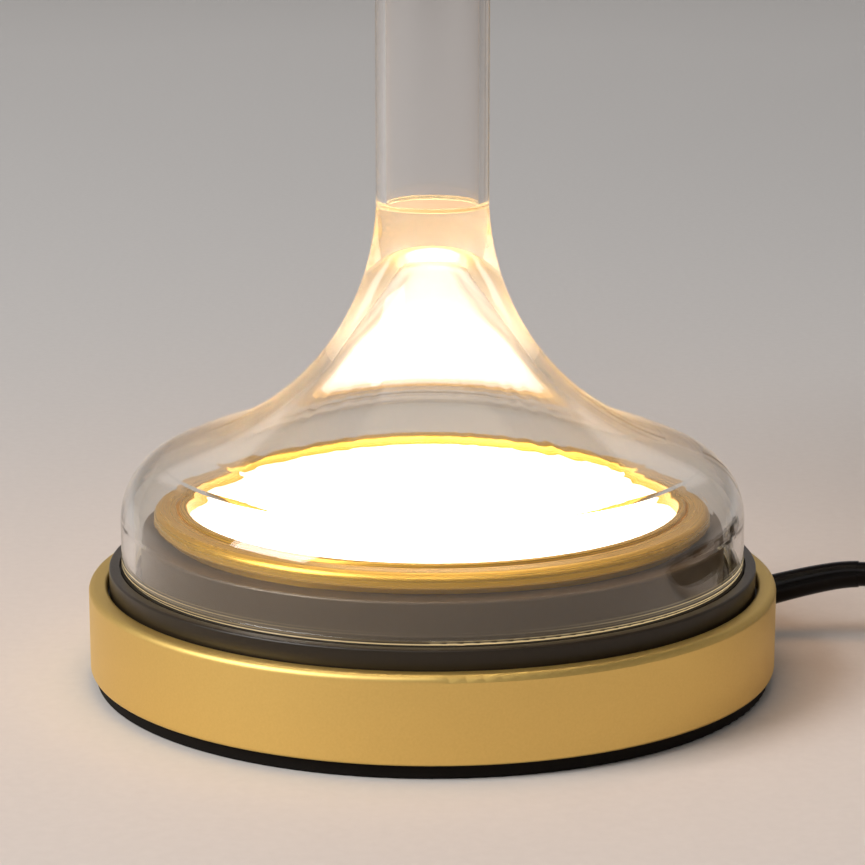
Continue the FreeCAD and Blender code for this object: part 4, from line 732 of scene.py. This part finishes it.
class LAMP_OT_base(Dresser, bpy.types.Operator):
    """Dresses the base: foot, plate, ring, weight, the glass's seat and the cord's clamp and bush"""

    bl_idname = "lamp.base"
    bl_label = "Dress the base"
    finishes = {
        gold_anodised: ["base_ring"],
        black_rubber: ["foot_pad", "glass_gasket"],
        zinc_steel: ["bottom_plate", "bottom_plate_screws", "cord_clamp_screws"],
        cast_iron: ["ballast_ring"],
        black_coat: ["glass_seat_ring"],
        grey_nylon: ["cord_clamp"],
        black_abs: ["cord_gland"],
        black_pvc: ["cord_inner"],
    }


class LAMP_OT_light(Dresser, bpy.types.Operator):
    """Dresses the light module: housing, board, chips, reflector, lit diffuser and bezel"""

    bl_idname = "lamp.light"
    bl_label = "Dress the light module"
    finishes = {
        taupe_coat: ["led_housing"],
        bronze_anodised: ["bezel"],
        lit_opal: ["diffuser"],
        white_abs: ["reflector_ring"],
        white_board: ["led_board"],
        phosphor: ["led_chips"],
        zinc_steel: ["housing_screws", "led_board_screws"],
    }


class LAMP_OT_driver(Dresser, bpy.types.Operator):
    """Dresses the driver and its wires"""

    bl_idname = "lamp.driver"
    bl_label = "Dress the driver"
    finishes = {
        white_abs: ["driver_case", "driver_lid", "driver_terminal_block"],
        green_board: ["driver_board"],
        ferrite: ["driver_transformer", "driver_choke"],
        blue_sleeve: ["driver_capacitors"],
        paired_wires: ["led_leads", "mains_leads"],
    }


class LAMP_OT_glass(Dresser, bpy.types.Operator):
    """Dresses the glass bell, the tube and the bond between them"""

    bl_idname = "lamp.glass"
    bl_label = "Dress the glass"
    finishes = {
        blown_glass: ["glass_bell"],
        drawn_glass: ["glass_tube"],
        clear_bond: ["tube_joint_ring"],
    }


class LAMP_OT_shade(Dresser, bpy.types.Operator):
    """Dresses the shade and what carries it"""

    bl_idname = "lamp.shade"
    bl_label = "Dress the shade"
    finishes = {
        spun_shade: ["shade"],
        gold_anodised: ["shade_carrier"],
        soft_sleeve: ["carrier_sleeve"],
        turned_brass: ["shade_washer", "shade_finial"],
    }


class LAMP_OT_switch(Dresser, bpy.types.Operator):
    """Dresses the switch on the cord"""

    bl_idname = "lamp.switch"
    bl_label = "Dress the switch"
    finishes = {
        black_abs: ["switch_lower_shell", "switch_upper_shell"],
        polished_abs: ["switch_rocker"],
        zinc_steel: ["switch_pin", "switch_screws"],
        turned_brass: ["switch_contacts", "switch_contact_spring"],
        grey_nylon: ["switch_cord_grips"],
        black_pvc: ["switch_cord_ends"],
    }


class LAMP_OT_plug(Dresser, bpy.types.Operator):
    """Dresses the plug and the tie round the coil"""

    bl_idname = "lamp.plug"
    bl_label = "Dress the plug"
    finishes = {
        black_abs: ["plug_body", "plug_pin_sleeves"],
        black_rubber: ["plug_strain_relief"],
        nickel_plate: ["plug_pins"],
        grey_nylon: ["coil_tie"],
    }


class LAMP_OT_cord(bpy.types.Operator):
    """Lays the mains cord: lamp to switch, then switch through the coil to the plug"""

    bl_idname = "lamp.cord"
    bl_label = "Lay the cord"

    def execute(self, context):
        settings = context.scene.lamp_cord
        sheath = black_pvc(settings).material
        first = cord_curve("cord_to_switch", LAMP_TO_SWITCH, settings.diameter)
        second = cord_curve("cord_to_plug", switch_to_plug(), settings.diameter)
        relief = self.strain_relief(line_of(first), settings)
        for piece in (first, second, relief):
            piece.data.materials.append(sheath)
        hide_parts("cord_lamp_to_switch")
        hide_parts("cord_switch_to_coil", "cord_coil", "cord_coil_to_plug")
        return {"FINISHED"}

    def strain_relief(self, line, settings):
        """A tapered sleeve along the first stretch of the cord."""
        rings = []
        run = 0.0
        for here, following in zip(line, line[1:]):
            share = run / settings.relief_length
            if share > 1:
                break
            width = settings.relief_root + (settings.relief_tip - settings.relief_root) * share
            rings.append((here, (following - here).normalized(), width / 2))
            run += (following - here).length
        relief = tube_mesh("cord_strain_relief", rings)
        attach(relief, "base")
        return relief


class LAMP_OT_stage(bpy.types.Operator):
    """Sets up the pale floor and backdrop, the studio lights, the world and the camera"""

    bl_idname = "lamp.stage"
    bl_label = "Set the stage"

    def execute(self, context):
        settings = context.scene.lamp_stage
        self.camera(context, settings)
        self.sweep(settings)
        for name, (position, size, power, mirrored) in PANELS.items():
            softbox(name, position, size, getattr(settings, power), mirrored)
        self.shade_light(settings)
        self.world(context, settings)
        context.scene.view_settings.view_transform = "Standard"
        # The floor picks up what the gold ring mirrors, and light crosses many faces of glass
        cycles = context.scene.cycles
        cycles.caustics_reflective = True
        cycles.caustics_refractive = False
        cycles.max_bounces = 24
        cycles.transmission_bounces = 20
        cycles.transparent_max_bounces = 16
        cycles.use_denoising = True
        return {"FINISHED"}

    def shade_light(self, settings):
        """The warm light that the shade throws back down, which takes too many bounces to trace."""
        data = bpy.data.lights.new("shade_light", "AREA")
        data.shape = "DISK"
        data.size = SHADE_LIGHT_ACROSS
        data.energy = settings.shade_power
        data.color = hex_colour(settings.shade_colour)[:3]
        light = placed("shade_light", data)
        light.location = (0, 0, SHADE_LIGHT_HIGH)
        light.visible_camera = light.visible_glossy = light.visible_transmission = False

    def sweep(self, settings):
        """A round seamless floor that curves up into a wall all the way round."""
        profile = [(r, 0.0) for r in SWEEP_FLAT]
        for i in range(SWEEP_STEPS + 1):
            angle = math.pi / 2 * i / SWEEP_STEPS
            profile.append((SWEEP_REACH + SWEEP_BEND * math.sin(angle), SWEEP_BEND * (1 - math.cos(angle))))
        profile.append((SWEEP_REACH + SWEEP_BEND, SWEEP_HEIGHT))
        turns = [math.tau * k / SWEEP_SIDES for k in range(SWEEP_SIDES)]
        vertices = [(r * math.cos(t), r * math.sin(t), z) for r, z in profile for t in turns]
        faces = [tuple(range(SWEEP_SIDES))] + band_faces(len(profile), SWEEP_SIDES)
        mesh = bpy.data.meshes.new("sweep")
        mesh.from_pydata(vertices, [], faces)
        mesh.shade_smooth()
        floor = placed("sweep", mesh)
        paper = mottled("paper_matt_pale", settings.floor_low, settings.floor_high, 2.5 * MM, {"IOR": 1.45},
                        (0.75, 0.85))
        mesh.materials.append(paper.material)

    def world(self, context, settings):
        """The even light of a pale room."""
        world = bpy.data.worlds.new("studio")
        world.use_nodes = True
        background = world.node_tree.nodes["Background"]
        background.inputs["Color"].default_value = (*LAMP_WHITE, 1)
        background.inputs["Strength"].default_value = settings.sky
        context.scene.world = world

    def camera(self, context, settings):
        """The camera in front of the lamp, looking down at its base."""
        data = bpy.data.cameras.new("camera")
        data.lens = settings.camera_lens
        data.sensor_width = SENSOR_WIDTH
        camera = placed("camera", data)
        camera.location = (0, -settings.camera_distance, settings.camera_height)
        camera.rotation_euler = (math.pi / 2 - settings.camera_pitch, 0, 0)
        context.scene.camera = camera


def softbox(name, position, size, power, mirrored):
    """A panel of light at a position, turned to the lamp's base. Mirrors and glass may show it or not."""
    data = bpy.data.lights.new(name, "AREA")
    data.shape = "RECTANGLE"
    data.size, data.size_y = size
    data.energy = power
    data.color = LAMP_WHITE
    light = placed(name, data)
    light.location = position
    light.rotation_euler = (-Vector(position)).to_track_quat("-Z", "Y").to_euler()
    light.visible_camera = False
    light.visible_glossy = light.visible_transmission = mirrored


class LAMP_PT_panel(bpy.types.Panel):
    """Lists the steps that dress the lamp"""

    bl_idname = "LAMP_PT_panel"
    bl_label = "Table lamp"
    bl_space_type = "VIEW_3D"
    bl_region_type = "UI"
    bl_category = "Lamp"

    def draw(self, context):
        for operator in OPERATORS:
            self.layout.operator(operator.bl_idname)


SETTINGS = {
    "lamp_finish": LampFinishSettings,
    "lamp_cord": LampCordSettings,
    "lamp_stage": LampStageSettings,
}
OPERATORS = (
    LAMP_OT_stage,
    LAMP_OT_cord,
    LAMP_OT_base,
    LAMP_OT_light,
    LAMP_OT_driver,
    LAMP_OT_glass,
    LAMP_OT_shade,
    LAMP_OT_switch,
    LAMP_OT_plug,
)


def register():
    for group in (*SETTINGS.values(), *OPERATORS, LAMP_PT_panel):
        bpy.utils.register_class(group)
    for name, group in SETTINGS.items():
        setattr(bpy.types.Scene, name, bpy.props.PointerProperty(type=group))


def unregister():
    for name in SETTINGS:
        delattr(bpy.types.Scene, name)
    for group in reversed((*SETTINGS.values(), *OPERATORS, LAMP_PT_panel)):
        bpy.utils.unregister_class(group)


def main():
    register()
    bpy.ops.lamp.stage()
    bpy.ops.lamp.cord()
    bpy.ops.lamp.base()
    bpy.ops.lamp.light()
    bpy.ops.lamp.driver()
    bpy.ops.lamp.glass()
    bpy.ops.lamp.shade()
    bpy.ops.lamp.switch()
    bpy.ops.lamp.plug()


if __name__ == "__main__":
    main()
